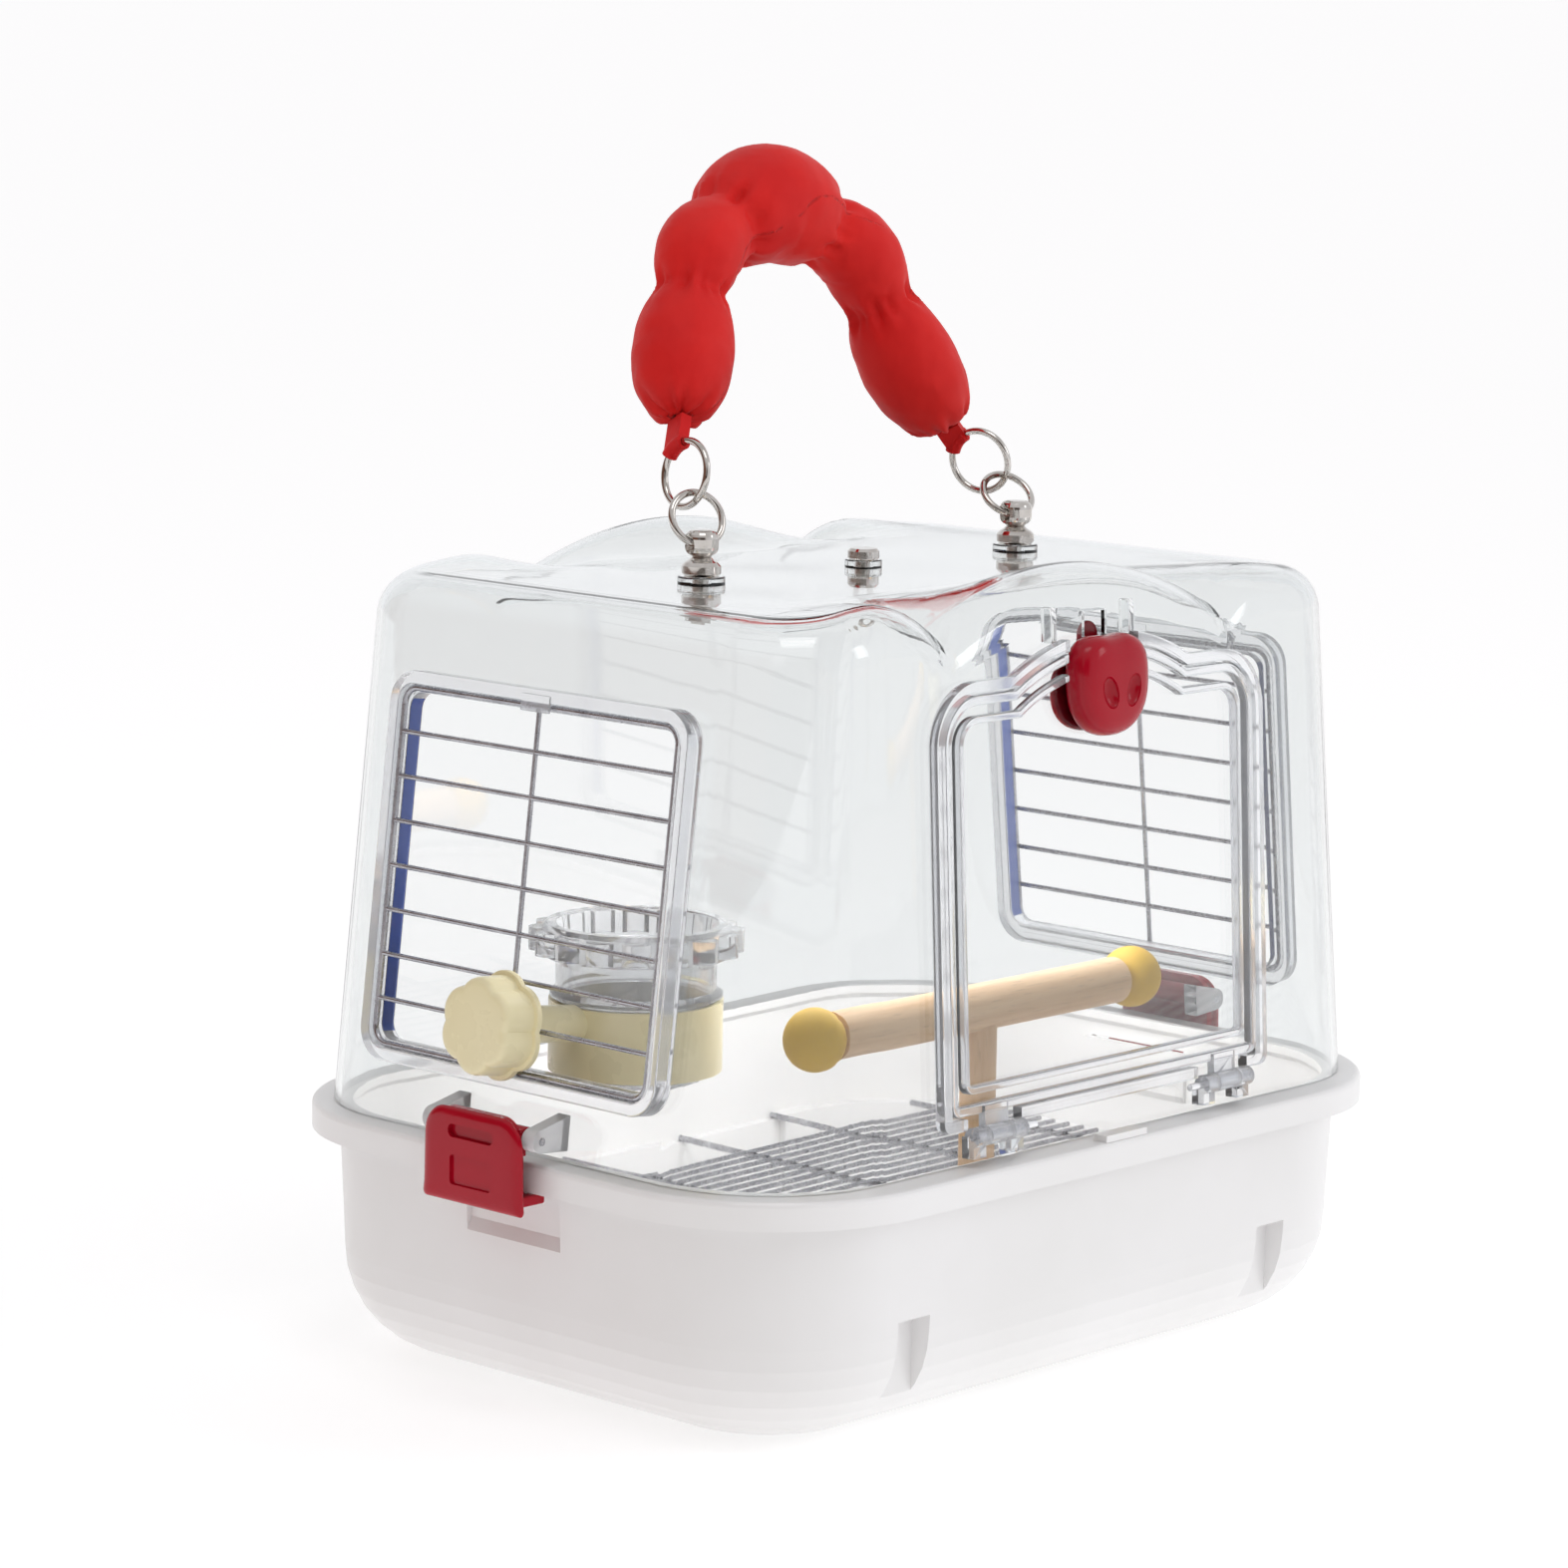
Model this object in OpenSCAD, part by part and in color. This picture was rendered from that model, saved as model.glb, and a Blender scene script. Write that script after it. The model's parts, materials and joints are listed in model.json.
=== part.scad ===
// Bird travel carrier: a white tray, a clear cloud-topped dome with a door, wire end windows,
// two end clips, a wooden perch, a food cup and a padded handle on two swivels.
// Origin at the middle of the tray's underside, X along the carrier, door towards -Y, +Z up.

/* [Tray] */
// Length of the tray over its rim
tray_l = 360; // [340:1:400]
// Width of the tray over its rim
tray_w = 267; // [255:1:300]
// Height of the rim's top above the table
tray_h = 92; // [86:1:110]
// Corner radius of the rim, seen from above
rim_r = 68; // [60:1:80]
// How far the rim stands out from the tray's wall
rim_out = 10; // [8:0.5:13]
// Height of the rim's outer face
rim_drop = 10; // [8:0.5:12]
// Radius of the tray's bottom edge
foot_r = 38; // [30:1:42]
// Thickness of the tray's wall
tray_t = 2.6; // [2:0.1:4]
// How far the tray's wall leans in between the rim and the bottom edge
tray_draft = 2; // [0:0.5:4]
// Height of the inner ledge that carries the wire floor
ledge_z = 45; // [42:1:50]
// Width of that ledge
ledge_w = 4; // [3:0.5:6]
// Width of each recess in the tray's long walls
notch_w = 16; // [10:1:24]
// Height of each recess in the long walls
notch_h = 30; // [20:1:34]
// Distance of each recess from the middle
notch_x = 98; // [80:1:105]

/* [Dome] */
// Distance from the rim's end to the foot of the dome's end wall
seat_end = 9; // [7:0.5:11]
// Distance from the rim's side to the foot of the dome's long wall
seat_side = 11.5; // [9:0.5:13]
// Corner radius of the dome at its foot
dome_r = 52; // [44:1:58]
// How much that radius shrinks for each millimetre of height
dome_r_fall = 0.097; // [0.05:0.001:0.12]
// Lean of the end walls in degrees
lean_end = 6.6; // [4:0.1:8]
// Lean of the long walls in degrees
lean_side = 3.2; // [2:0.1:5]
// Height of the flat roof above the table
roof_z = 281; // [276:1:290]
// Radius of the roof's edge
roof_edge_r = 17; // [12:1:19]
// Thickness of the clear plastic
dome_t = 2.4; // [2:0.1:3]
// Half width of the big middle lobe of the roof's long edges
lobe_x = 74; // [68:1:78]
// Rise of the big lobe above the flat roof
lobe_rise = 10.5; // [8:0.5:13]
// Depth of the notches between the lobes, below the flat roof
lobe_dip = 8; // [5:0.5:9]
// Distance of the small lobes' tops from the middle
small_x = 100; // [96:1:104]
// Rise of the small lobes above the flat roof
small_rise = 3; // [2:0.5:5]
// Length over which a small lobe fades into the corner
small_fade = 35; // [30:1:38]
// Distance from the middle at which the lobes start to rise out of the flat roof
lobe_start = 62; // [55:1:68]
// Depth over which they rise
lobe_run = 36; // [30:1:40]

/* [Doorway] */
// Half width of the raised rib round the doorway
way_x = 88.4; // [84:0.2:90]
// Height of that rib's lower edge above the dome's foot, along the wall
way_v = 13; // [12:0.5:15]
// Height of the two small top lobes, along the wall
way_small_v = 165.3; // [160:0.5:167]
// Height of the big top lobe, along the wall
way_top_v = 177.3; // [174:0.5:178]
// Radius of the small top lobes
way_small_r = 22; // [18:1:24]
// Radius of the big top lobe
way_big_r = 100; // [90:1:110]
// Width of the raised rib
way_rib_w = 4; // [3:0.2:5]
// Height of the raised rib
way_rib_h = 4; // [3:0.2:5]
// Gap between the door and its opening
door_gap = 0.8; // [0.6:0.1:1.2]
// Height of the door's two ribs
door_rib_h = 3.4; // [2.5:0.1:4]
// Width of the door's outer rib
door_rib_w = 3.4; // [2.5:0.1:4]
// Distance of the door's inner rib from its edge
door_inner = 7; // [6:0.2:9]
// Width of the door's inner rib
door_inner_w = 2.6; // [2:0.1:3.5]

/* [Door hinges and latch] */
// Distance of each hinge from the middle
hinge_x = 62.5; // [55:0.5:66]
// Height of the hinge axis above the dome's foot, along the wall
hinge_v = 10.5; // [10:0.1:11]
// Distance of the hinge axis out from the wall
hinge_w = 4.8; // [4.6:0.1:5.2]
// Radius of the knuckles
knuckle_r = 3.5; // [3.2:0.1:3.7]
// Width of the door's knuckle
knuckle_door = 12; // [9:0.5:14]
// Width of each of the dome's two knuckles
knuckle_dome = 6.4; // [5:0.2:7]
// Gap between neighbouring knuckles
knuckle_gap = 0.5; // [0.4:0.1:0.8]
// Diameter of the hinge pins
pin_d = 2.4; // [2:0.1:3]
// Width of the red latch button
button_w = 34; // [30:1:36]
// Height of the latch button
button_h = 36; // [32:1:37]
// Thickness of the latch button
button_t = 12; // [9:0.5:13]
// Width of the latch plate behind the door
plate_w = 38; // [34:1:42]
// Height of the latch plate
plate_h = 23; // [20:1:26]
// Thickness of the latch plate
plate_t = 3.4; // [2.6:0.1:4]
// Width of the bolt on top of the latch plate
bolt_w = 10; // [8:0.5:13]
// How far the bolt stands above the door's edge
bolt_out = 8; // [7:0.5:8]
// Travel of the latch
latch_run = 8.5; // [8:0.5:9]

/* [End windows] */
// Half width of the wire window, to the middle of its outer wire
window_x = 66.4; // [60:0.2:68]
// Height of the lowest wire above the dome's foot, along the wall
window_v = 28; // [27:0.5:31]
// Distance between two cross wires
wire_pitch = 15.6; // [14:0.1:16]
// Number of spaces between the cross wires
wire_rows = 8; // [6:1:8]
// Diameter of the outer wire
wire_outer_d = 2.2; // [1.8:0.1:2.6]
// Diameter of the cross wires
wire_d = 1.8; // [1.4:0.1:2]
// Width of the clear flange round the window
flange_w = 4.6; // [4:0.2:6]
// How far the flange stands out from the wall
flange_h = 7.5; // [7:0.5:9]
// Depth of the step that the wire window lies on, below the flange's face
flange_step = 3.2; // [3:0.1:4]
// Corner radius of the window
window_r = 7; // [5:0.5:9]

/* [End clips] */
// Width of each clip
clip_w = 42; // [36:1:46]
// Height of the clip's pivot above the rim
clip_pivot_up = 9.5; // [9:0.5:11]
// How far the pivot lies out from the rim's end
clip_pivot_out = 2.5; // [1.5:0.5:3]
// Radius of the clip's barrel round the pivot
clip_barrel_r = 5.1; // [4.6:0.1:5.4]
// Diameter of the clip pins
clip_pin_d = 3; // [2.4:0.1:3.4]
// Thickness of the clip's plate
clip_t = 3; // [2.4:0.1:3.4]
// How far the clip's toe reaches in under the rim
clip_toe = 6; // [5:0.5:6.5]
// Thickness of the toe
clip_toe_t = 4; // [3:0.5:5]
// Width of each clear ear beside the clip
ear_w = 6; // [5:0.5:7]

/* [Handle] */
// Distance of each swivel from the middle
swivel_x = 84; // [76:1:90]
// Distance of the roof's fittings in front of the middle
swivel_y = 3; // [0:0.5:6]
// Diameter of the clear collar under each swivel
collar_d = 16.5; // [15.5:0.5:20]
// Height of the clear collar
collar_h = 3; // [2:0.5:4]
// Diameter of the swivel's base
swivel_d = 14; // [13:0.5:17]
// Height of the swivel's base
swivel_h = 6.5; // [5:0.5:8]
// Diameter of the swivel's round head
head_d = 12; // [11:0.2:13]
// Height of the ring's hole above the swivel's base
head_up = 4.4; // [4:0.1:4.8]
// Turn of the swivels, seen from above, in degrees
swivel_turn = 20; // [0:1:25]
// Diameter of the ring wire
ring_wire_d = 2.6; // [2.2:0.1:2.8]
// Middle radius of the lower rings
lower_ring_r = 9.6; // [9:0.1:10.4]
// Middle radius of the upper rings
upper_ring_r = 11.6; // [11.2:0.1:12]
// Lean of the left lower ring towards the back, in degrees
left_lean = 25; // [20:1:30]
// Lean of the right lower ring towards the back, in degrees
right_lean = 45; // [40:1:48]
// How far round the right lower ring the link has slipped from its top, in degrees
right_slip = 8; // [0:1:12]
// Gap between the wires of a lower and an upper ring
link_play = 1; // [0.9:0.05:1.2]
// Width of the fabric tabs
tab_w = 9; // [7:0.5:11]
// Thickness of the fabric tabs
tab_t = 1.4; // [1.2:0.1:2]
// Radius of the padded handle at its end beads
bead_end_r = 19.5; // [17:0.5:21]
// Radius at the second and fourth bead
bead_side_r = 16.8; // [15:0.2:18]
// Radius at the middle bead
bead_mid_r = 23; // [20:0.5:24]
// Radius at the necks next to the end beads
neck_low_r = 10.5; // [9:0.5:12]
// Radius at the necks next to the middle bead
neck_high_r = 13; // [11:0.5:14]

/* [Roof fitting] */
// Diameter of the roof fitting's cap
cap_d = 11.5; // [10:0.5:13]
// Height of the cap above the roof's boss
cap_h = 4; // [3:0.5:6]
// Diameter of the roof screws
screw_d = 5; // [4:0.5:6]
// Radius of the eye under the roof
eye_r = 4; // [3.5:0.1:5]
// Diameter of the eye's wire
eye_wire_d = 2.2; // [1.8:0.1:2.6]

/* [Perch] */
// Distance of the perch in front of the middle
perch_y = 62; // [50:1:70]
// Height of the perch bar's axis
perch_z = 128.3; // [120:0.1:140]
// Diameter of the perch bar
perch_d = 17; // [14:0.5:19]
// Length of the perch bar
perch_l = 151; // [130:1:160]
// Diameter of the end balls
ball_d = 22.6; // [21:0.2:26]
// Diameter of the perch post
post_d = 13; // [12:0.2:16]
// Diameter of the tenons in the post and in the bar
tenon_d = 8; // [6:0.5:9]
// Depth of the tenon holes
tenon_l = 8; // [6:0.5:9]
// Diameter of the screw that holds the post
post_screw_d = 4; // [3:0.5:5]

/* [Wire floor] */
// Diameter of the long wires
grate_d = 1.8; // [1.4:0.1:2.2]
// Diameter of the cross wires
grate_cross_d = 2.4; // [2:0.1:3]
// Number of long wires
grate_n = 21; // [15:2:25]
// Distance between two long wires
grate_pitch = 7.3; // [6:0.1:8]
// Number of cross wires
cross_n = 6; // [4:2:6]
// Distance between two cross wires
cross_pitch = 57; // [50:1:58]
// Distance from the last cross wire to the long wires' ends
grate_end = 10; // [6:1:14]

/* [Food cup] */
// Distance of the cup's axis from the middle
cup_x = 111; // [105:1:115]
// Height of the cup's bottom
cup_z = 108.5; // [106:0.5:112]
// Height of the cup
cup_h = 56; // [48:1:60]
// Diameter of the cup's body
cup_d = 56; // [52:0.5:60]
// Diameter of the cup's ribbed rim
cup_rim_d = 75; // [70:0.5:78]
// Height of the cup's ribbed rim
cup_rim_h = 11; // [8:0.5:13]
// Thickness of the cup's wall
cup_t = 1.8; // [1.4:0.1:2.4]
// Number of ribs on the cup's rim
cup_ribs = 16; // [10:1:24]
// Height of the holder's band
band_h = 25; // [20:1:28]
// Thickness of the band
band_t = 2; // [1.6:0.1:2.6]
// Diameter of the holder's slotted stem
stem_d = 13; // [11:0.5:15]
// Width of the stem's slots, which the wires lie in
stem_slot = 3.2; // [2.8:0.1:3.6]
// Diameter of the knob
knob_d = 36; // [32:0.5:38]
// Number of lobes on the knob
knob_lobes = 6; // [4:1:7]
// Length of the knob
knob_l = 12.7; // [11:0.1:14]
// How far the knob's flange stands out round its lobes
knob_flange_out = 1; // [0.5:0.1:2]
// Diameter of the boss that the knob clamps the wires with
knob_boss_d = 26; // [22:0.5:30]
// Thickness of the knob's flange
knob_flange_t = 2.4; // [2:0.2:3]

/* [Fits] */
// Gap round pieces that slide or turn loosely
gap = 0.4; // [0.3:0.05:0.6]
// Radial play of a pin in the piece that turns on it
play = 0.08; // [0.04:0.01:0.1]
// Radial play of a pin in the piece that holds it
seat_play = 0.02; // [0.01:0.01:0.04]

/* [Hidden] */

clear = [0.86, 0.90, 0.95, 0.45];
white = [0.96, 0.95, 0.93];
red = [0.72, 0.03, 0.07];
cloth = [0.86, 0.07, 0.07];
steel = [0.75, 0.75, 0.77];
wood = [0.86, 0.70, 0.52];
yellow = [0.90, 0.74, 0.10];
cream = [0.96, 0.92, 0.66];

round_fn = 64;
wire_fn = 24;
eps = 0.01;

body_x = tray_l / 2 - rim_out;
body_y = tray_w / 2 - rim_out;
body_r = rim_r - rim_out;
dome_x = tray_l / 2 - seat_end;
dome_y = tray_w / 2 - seat_side;

// Places on the dome's walls. A child is drawn in the wall's own plane: x runs along the wall,
// y up the wall from its foot, z out of the wall.
module on_front() {
    translate([0, -dome_y, tray_h]) rotate([90 - lean_side, 0, 0]) children();
}

module on_end(side) {
    rotate([0, 0, 90 * side]) translate([0, -dome_x, tray_h]) rotate([90 - lean_end, 0, 0]) children();
}

// Right end as drawn, left end turned half round.
module at_end(side) {
    rotate([0, 0, side > 0 ? 0 : 180]) children();
}

function smooth(t) = let (c = max(0, min(1, t))) c * c * (3 - 2 * c);
function arc(cx, cy, r, a0, a1, n) =
    [for (i = [0:n]) let (a = a0 + (a1 - a0) * i / n) [cx + r * cos(a), cy + r * sin(a)]];

module rounded_box(w, h, r, t) {
    linear_extrude(t) rounded(w, h, r);
}

module rounded(w, h, r) {
    polygon(concat(arc(w / 2 - r, h / 2 - r, r, 0, 90, 8), arc(r - w / 2, h / 2 - r, r, 90, 180, 8),
                   arc(r - w / 2, r - h / 2, r, 180, 270, 8), arc(w / 2 - r, r - h / 2, r, 270, 360, 8)));
}

// Tray

foot_x = body_r - tray_draft - foot_r;
inner_r = foot_r - tray_t;
rim_under = tray_h - rim_drop;
rim_in = body_r - tray_t - 2;
rim_top_t = 3;
lip_t = 2.4;
rim_round = 2;

// Section of the wall: distance from the corner's centre against height.
function tray_section() = concat(
    [[0, 0]],
    arc(foot_x, foot_r, foot_r, 270, 360, 8),
    [[body_r, rim_under], [body_r + rim_out - lip_t, rim_under + rim_drop - rim_top_t],
     [body_r + rim_out - lip_t, rim_under], [body_r + rim_out, rim_under]],
    arc(body_r + rim_out - rim_round, tray_h - rim_round, rim_round, 0, 90, 3),
    [[rim_in, tray_h], [rim_in, tray_h - rim_top_t], [body_r - tray_t, tray_h - rim_top_t - 2],
     [body_r - tray_t - tray_draft, ledge_z], [body_r - tray_t - tray_draft - ledge_w, ledge_z]],
    [for (p = arc(foot_x, foot_r, inner_r, 0, -90, 8))
        if (p[0] < body_r - tray_t - tray_draft - ledge_w) p],
    [[0, tray_t]]);

module tray_side(len) {
    rotate([90, 0, 90]) translate([0, 0, -len / 2]) linear_extrude(len) polygon(tray_section());
}

module tray_shell() {
    cx = body_x - body_r;
    cy = body_y - body_r;
    for (s = [0, 1]) {
        rotate([0, 0, 180 * s]) {
            translate([cx, cy, 0]) rotate_extrude(angle = 90, $fn = round_fn) polygon(tray_section());
            translate([-cx, cy, 0]) rotate([0, 0, 90]) rotate_extrude(angle = 90, $fn = round_fn)
                polygon(tray_section());
            translate([0, cy, 0]) tray_side(2 * cx);
            translate([cx, 0, 0]) rotate([0, 0, -90]) tray_side(2 * cy);
        }
    }
    translate([-cx, -cy, 0]) cube([2 * cx, 2 * cy, tray_t]);
}

grip_w = clip_w + 4;
grip_drop = 24;
grip_depth = 3.2;
pad_t = 2.4;
notch_z = 13;
notch_depth = 10;
lift_w = 22;
lift_l = 6;
lift_h = 2.4;

// Section of the finger recess under a clip, and of the thicker wall behind it.
module end_recess(extra) {
    x = body_x - grip_depth - extra;
    rotate([90, 0, 0]) translate([0, 0, -grip_w / 2 - extra]) linear_extrude(grip_w + 2 * extra)
        polygon([[x, rim_under - (extra > 0 ? 0.5 : -eps)], [x, rim_under - grip_drop + grip_depth * 2],
                 [x + grip_depth + extra, rim_under - grip_drop - extra],
                 [x + grip_depth + extra + 6, rim_under - grip_drop - extra],
                 [x + grip_depth + extra + 6, rim_under - (extra > 0 ? 0.5 : -eps)]]);
}

module tray() {
    color(white) difference() {
        union() {
            tray_shell();
            intersection() {
                union() {
                    for (side = [-1, 1]) {
                        at_end(side) end_recess(pad_t);
                        for (x = [-notch_x, notch_x])
                            rotate([0, 0, 90 - 90 * side])
                                translate([x - notch_w / 2 - pad_t, -body_y, tray_t / 2])
                                    cube([notch_w + 2 * pad_t, notch_depth + pad_t,
                                          notch_z + notch_h + pad_t]);
                    }
                }
                tray_envelope();
            }
            translate([-lift_w / 2, 1 - tray_w / 2, tray_h - eps]) cube([lift_w, lift_l, lift_h]);
        }
        for (side = [-1, 1]) {
            at_end(side) end_recess(0);
            for (x = [-notch_x, notch_x])
                rotate([0, 0, 90 - 90 * side])
                    translate([x - notch_w / 2, -tray_w, notch_z])
                        cube([notch_w, tray_w - body_y + notch_depth, notch_h]);
        }
    }
}

// The tray's outer form as a solid, which keeps the thicker wall parts inside it.
function tray_outline() = concat([[0, 0]], arc(foot_x, foot_r, foot_r, 270, 360, 8),
                                 [[body_r - 0.2, rim_under - 0.2], [0, rim_under - 0.2]]);

module tray_envelope() {
    cx = body_x - body_r;
    cy = body_y - body_r;
    for (s = [0, 1]) {
        rotate([0, 0, 180 * s]) {
            translate([cx, cy, 0]) rotate_extrude(angle = 90, $fn = round_fn) polygon(tray_outline());
            translate([-cx, cy, 0]) rotate([0, 0, 90]) rotate_extrude(angle = 90, $fn = round_fn)
                polygon(tray_outline());
            translate([-cx, cy, 0]) rotate([90, 0, 90]) linear_extrude(2 * cx) polygon(tray_outline());
            translate([cx, 0, 0]) rotate([90, 0, 0]) translate([0, 0, -cy]) linear_extrude(2 * cy)
                polygon(tray_outline());
        }
    }
    translate([-cx, -cy, 0]) cube([2 * cx, 2 * cy, rim_under - 0.2]);
}

// Dome

long_n = 30;
short_n = 4;
corner_n = 6;

// Height of the cloud-shaped edge over the flat roof: one big lobe between two small ones.
function lobe(x) = let (u = abs(x))
    u < lobe_x ? lobe_rise - (lobe_rise + lobe_dip) * pow(u / lobe_x, 2)
    : u < small_x ? small_rise - (small_rise + lobe_dip) * pow((u - small_x) / (small_x - lobe_x), 2)
    : small_rise * (1 - smooth((u - small_x) / small_fade));
function roof(x, y, t) = roof_z - t + lobe(x) * smooth((abs(y) - lobe_start) / lobe_run);

// One ring of points round the dome, at height z and inset by d from the walls there.
function ring(z, d) =
    let (a = dome_x - tan(lean_end) * (z - tray_h) - d, b = dome_y - tan(lean_side) * (z - tray_h) - d,
         r = max(dome_r - dome_r_fall * (z - tray_h) - d, 3),
         centres = [[a - r, b - r], [r - a, b - r], [r - a, r - b], [a - r, r - b]])
    [for (q = [0:3])
        let (c = centres[q], e = centres[(q + 1) % 4], out = r * [cos(90 * q + 90), sin(90 * q + 90)],
             n = q % 2 == 0 ? long_n : short_n)
        each concat([for (i = [0:corner_n]) let (g = 90 * q + 90 * i / corner_n) c + r * [cos(g), sin(g)]],
                    [for (i = [1:n - 1]) c + out + (e - c) * i / n])];

// One ring of the rounded roof edge: turn goes from 0 at the wall to 90 degrees at the roof.
function edge_ring(turn, t) =
    let (tops = [for (p = ring(roof_z, roof_edge_r)) roof(p[0], p[1], t)])
    [for (i = [0:len(tops) - 1])
        let (foot = tops[i] - roof_edge_r, d = t + roof_edge_r * (1 - cos(turn)), p = ring(foot, d)[i])
        [p[0], p[1], foot + roof_edge_r * sin(turn)]];

// A closed skin of the dome, at depth t inside its outer face.
module dome_skin(t, base) {
    rings = concat([[for (p = ring(base, t)) [p[0], p[1], base]]],
                   [for (k = [0:4]) edge_ring(22.5 * k, t)],
                   [for (d = [6, 14, 24, 36, 50])
                       [for (p = ring(roof_z, roof_edge_r + d + t)) [p[0], p[1], roof(p[0], p[1], t)]]]);
    n = len(rings[0]);
    m = len(rings);
    points = concat([for (r = rings) each r], [[0, 0, base], [0, 0, roof(0, 0, t)]]);
    faces = concat([for (i = [0:n - 1]) [i, (i + 1) % n, m * n]],
                   [for (j = [0:m - 2], i = [0:n - 1])
                       let (a = j * n + i, b = j * n + (i + 1) % n, c = b + n, e = a + n)
                       each [[a, e, c], [a, c, b]]],
                   [for (i = [0:n - 1]) [(m - 1) * n + (i + 1) % n, (m - 1) * n + i, m * n + 1]]);
    polyhedron(points, faces);
}

// Cloud-topped outline of the doorway, drawn in the wall's plane and inset by g.
function way_outline(g) =
    let (hx = way_x - g, low = way_v + g, small_v = way_small_v - g, sr = way_small_r - g,
         br = way_big_r - g, centre = way_top_v - way_big_r, a = asin((small_v - centre) / br),
         half = concat([for (p = arc(hx - 4, low + 4, 4, -90, 0, 4)) p],
                       arc(hx - sr, small_v - sr, sr, 0, 90, 6),
                       arc(0, centre, br, a, 90, 6)))
    concat(half, [for (i = [len(half) - 2:-1:0]) [-half[i][0], half[i][1]]]);

module way(g, low, high) {
    translate([0, 0, low]) linear_extrude(high - low) polygon(way_outline(g));
}

door_inset = way_rib_w + door_gap;
keeper_w = bolt_w + 2;
keeper_v = way_top_v - door_inset + bolt_out + 3.5;
guide_x = plate_w / 2 + 2;
window_mid = window_v + wire_pitch * wire_rows / 2;
window_h = wire_pitch * wire_rows;
window_open_x = 2 * (window_x - wire_outer_d / 2 - 0.4);
window_open_h = window_h - wire_outer_d - 0.8;
window_seat_x = 2 * (window_x + wire_outer_d / 2 + 0.3);
window_seat_h = window_h + wire_outer_d + 0.6;
grille_w = flange_h - flange_step + wire_outer_d / 2 + 0.02;

module hinge_knuckle(x, w) {
    translate([x - w / 2, hinge_v, hinge_w]) rotate([0, 90, 0])
        cylinder(r = knuckle_r, h = w, $fn = round_fn);
}

module hinge_bore(x, r) {
    translate([x - 20, hinge_v, hinge_w]) rotate([0, 90, 0]) cylinder(r = r, h = 40, $fn = round_fn);
}

module dome_hinge(x) {
    off = knuckle_door / 2 + knuckle_gap + knuckle_dome / 2;
    for (s = [-1, 1]) {
        hinge_knuckle(x + s * off, knuckle_dome);
        translate([x + s * off - knuckle_dome / 2, hinge_v - knuckle_r - 4, -1])
            cube([knuckle_dome, knuckle_r + 4, hinge_w + 1.6]);
    }
}

clip_axis_x = tray_l / 2 + clip_pivot_out;
clip_axis_z = tray_h + clip_pivot_up;
ear_y = clip_w / 2 + gap;
ear_r = clip_barrel_r - 0.9;
ear_l = clip_pivot_out + seat_end + tan(lean_end) * clip_pivot_up + 1;

module ears(side) {
    at_end(side) for (s = [-1, 1])
        translate([clip_axis_x, s * (ear_y + ear_w / 2), clip_axis_z]) rotate([90, 0, 0])
            translate([0, 0, -ear_w / 2]) linear_extrude(ear_w)
                polygon(concat(arc(0, 0, ear_r, -90, 90, 10), [[-ear_l, ear_r + 3], [-ear_l, -ear_r - 1]]));
}

module dome() {
    color(clear) difference() {
        union() {
            difference() {
                dome_skin(0, tray_h);
                dome_skin(dome_t, tray_h - 1);
            }
            on_front() {
                difference() {
                    way(0, -1, way_rib_h);
                    translate([-button_w / 2 - 1.5, way_small_v, 0]) cube([button_w + 3, 30, 10]);
                    for (s = [-1, 1])
                        translate([s * hinge_x - 14, way_v - 1, 0]) cube([28, way_rib_w + 1.5, 10]);
                }
                for (s = [-1, 1]) {
                    translate([s * guide_x - 1.5, way_top_v - way_rib_w + 1, -7]) cube([3, 12, 6]);
                    dome_hinge(s * hinge_x);
                }
            }
            for (side = [-1, 1]) {
                on_end(side) {
                    translate([0, window_mid, -1])
                        rounded_box(window_seat_x + 2 * flange_w, window_seat_h + 2 * flange_w,
                                    window_r + flange_w, flange_h + 1);
                }
                ears(side);
                translate([side * swivel_x, -swivel_y, roof_z - 1])
                    cylinder(d = collar_d, h = collar_h + 1, $fn = round_fn);
            }
            translate([0, -swivel_y, roof_z - 1]) cylinder(d = cap_d + 2, h = collar_h + 1, $fn = round_fn);
        }
        on_front() {
            way(way_rib_w, -20, 10);
            translate([-keeper_w / 2, way_small_v - 10, -20])
                cube([keeper_w, keeper_v - way_small_v + 10, 30]);
            for (s = [-1, 1]) hinge_bore(s * hinge_x, pin_d / 2 + seat_play);
        }
        for (side = [-1, 1]) {
            on_end(side) translate([0, window_mid, 0]) {
                translate([0, 0, -20]) rounded_box(window_open_x, window_open_h, window_r - 1, 40);
                translate([0, 0, flange_h - flange_step])
                    rounded_box(window_seat_x, window_seat_h, window_r, 20);
            }
            at_end(side) clip_bore(clip_pin_d / 2 + seat_play);
        }
        for (s = [-1, 0, 1])
            translate([s * swivel_x, -swivel_y, roof_z - 20])
                cylinder(d = screw_d + 2 * seat_play, h = 40, $fn = round_fn);
    }
}

module clip_bore(r) {
    translate([clip_axis_x, 40, clip_axis_z]) rotate([90, 0, 0]) cylinder(r = r, h = 80, $fn = round_fn);
}

// Wire windows

module wire_loop(w, h, r, d) {
    for (s = [-1, 1]) {
        translate([-w / 2 + r, s * h / 2, 0]) rotate([0, 90, 0])
            cylinder(d = d, h = w - 2 * r, $fn = wire_fn);
        translate([s * w / 2, h / 2 - r, 0]) rotate([90, 0, 0])
            cylinder(d = d, h = h - 2 * r, $fn = wire_fn);
    }
    for (q = [0:3])
        translate([(q == 0 || q == 3 ? 1 : -1) * (w / 2 - r), (q < 2 ? 1 : -1) * (h / 2 - r), 0])
            rotate([0, 0, 90 * q]) rotate_extrude(angle = 90, $fn = round_fn)
                translate([r, 0]) circle(d = d, $fn = wire_fn);
}

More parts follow.
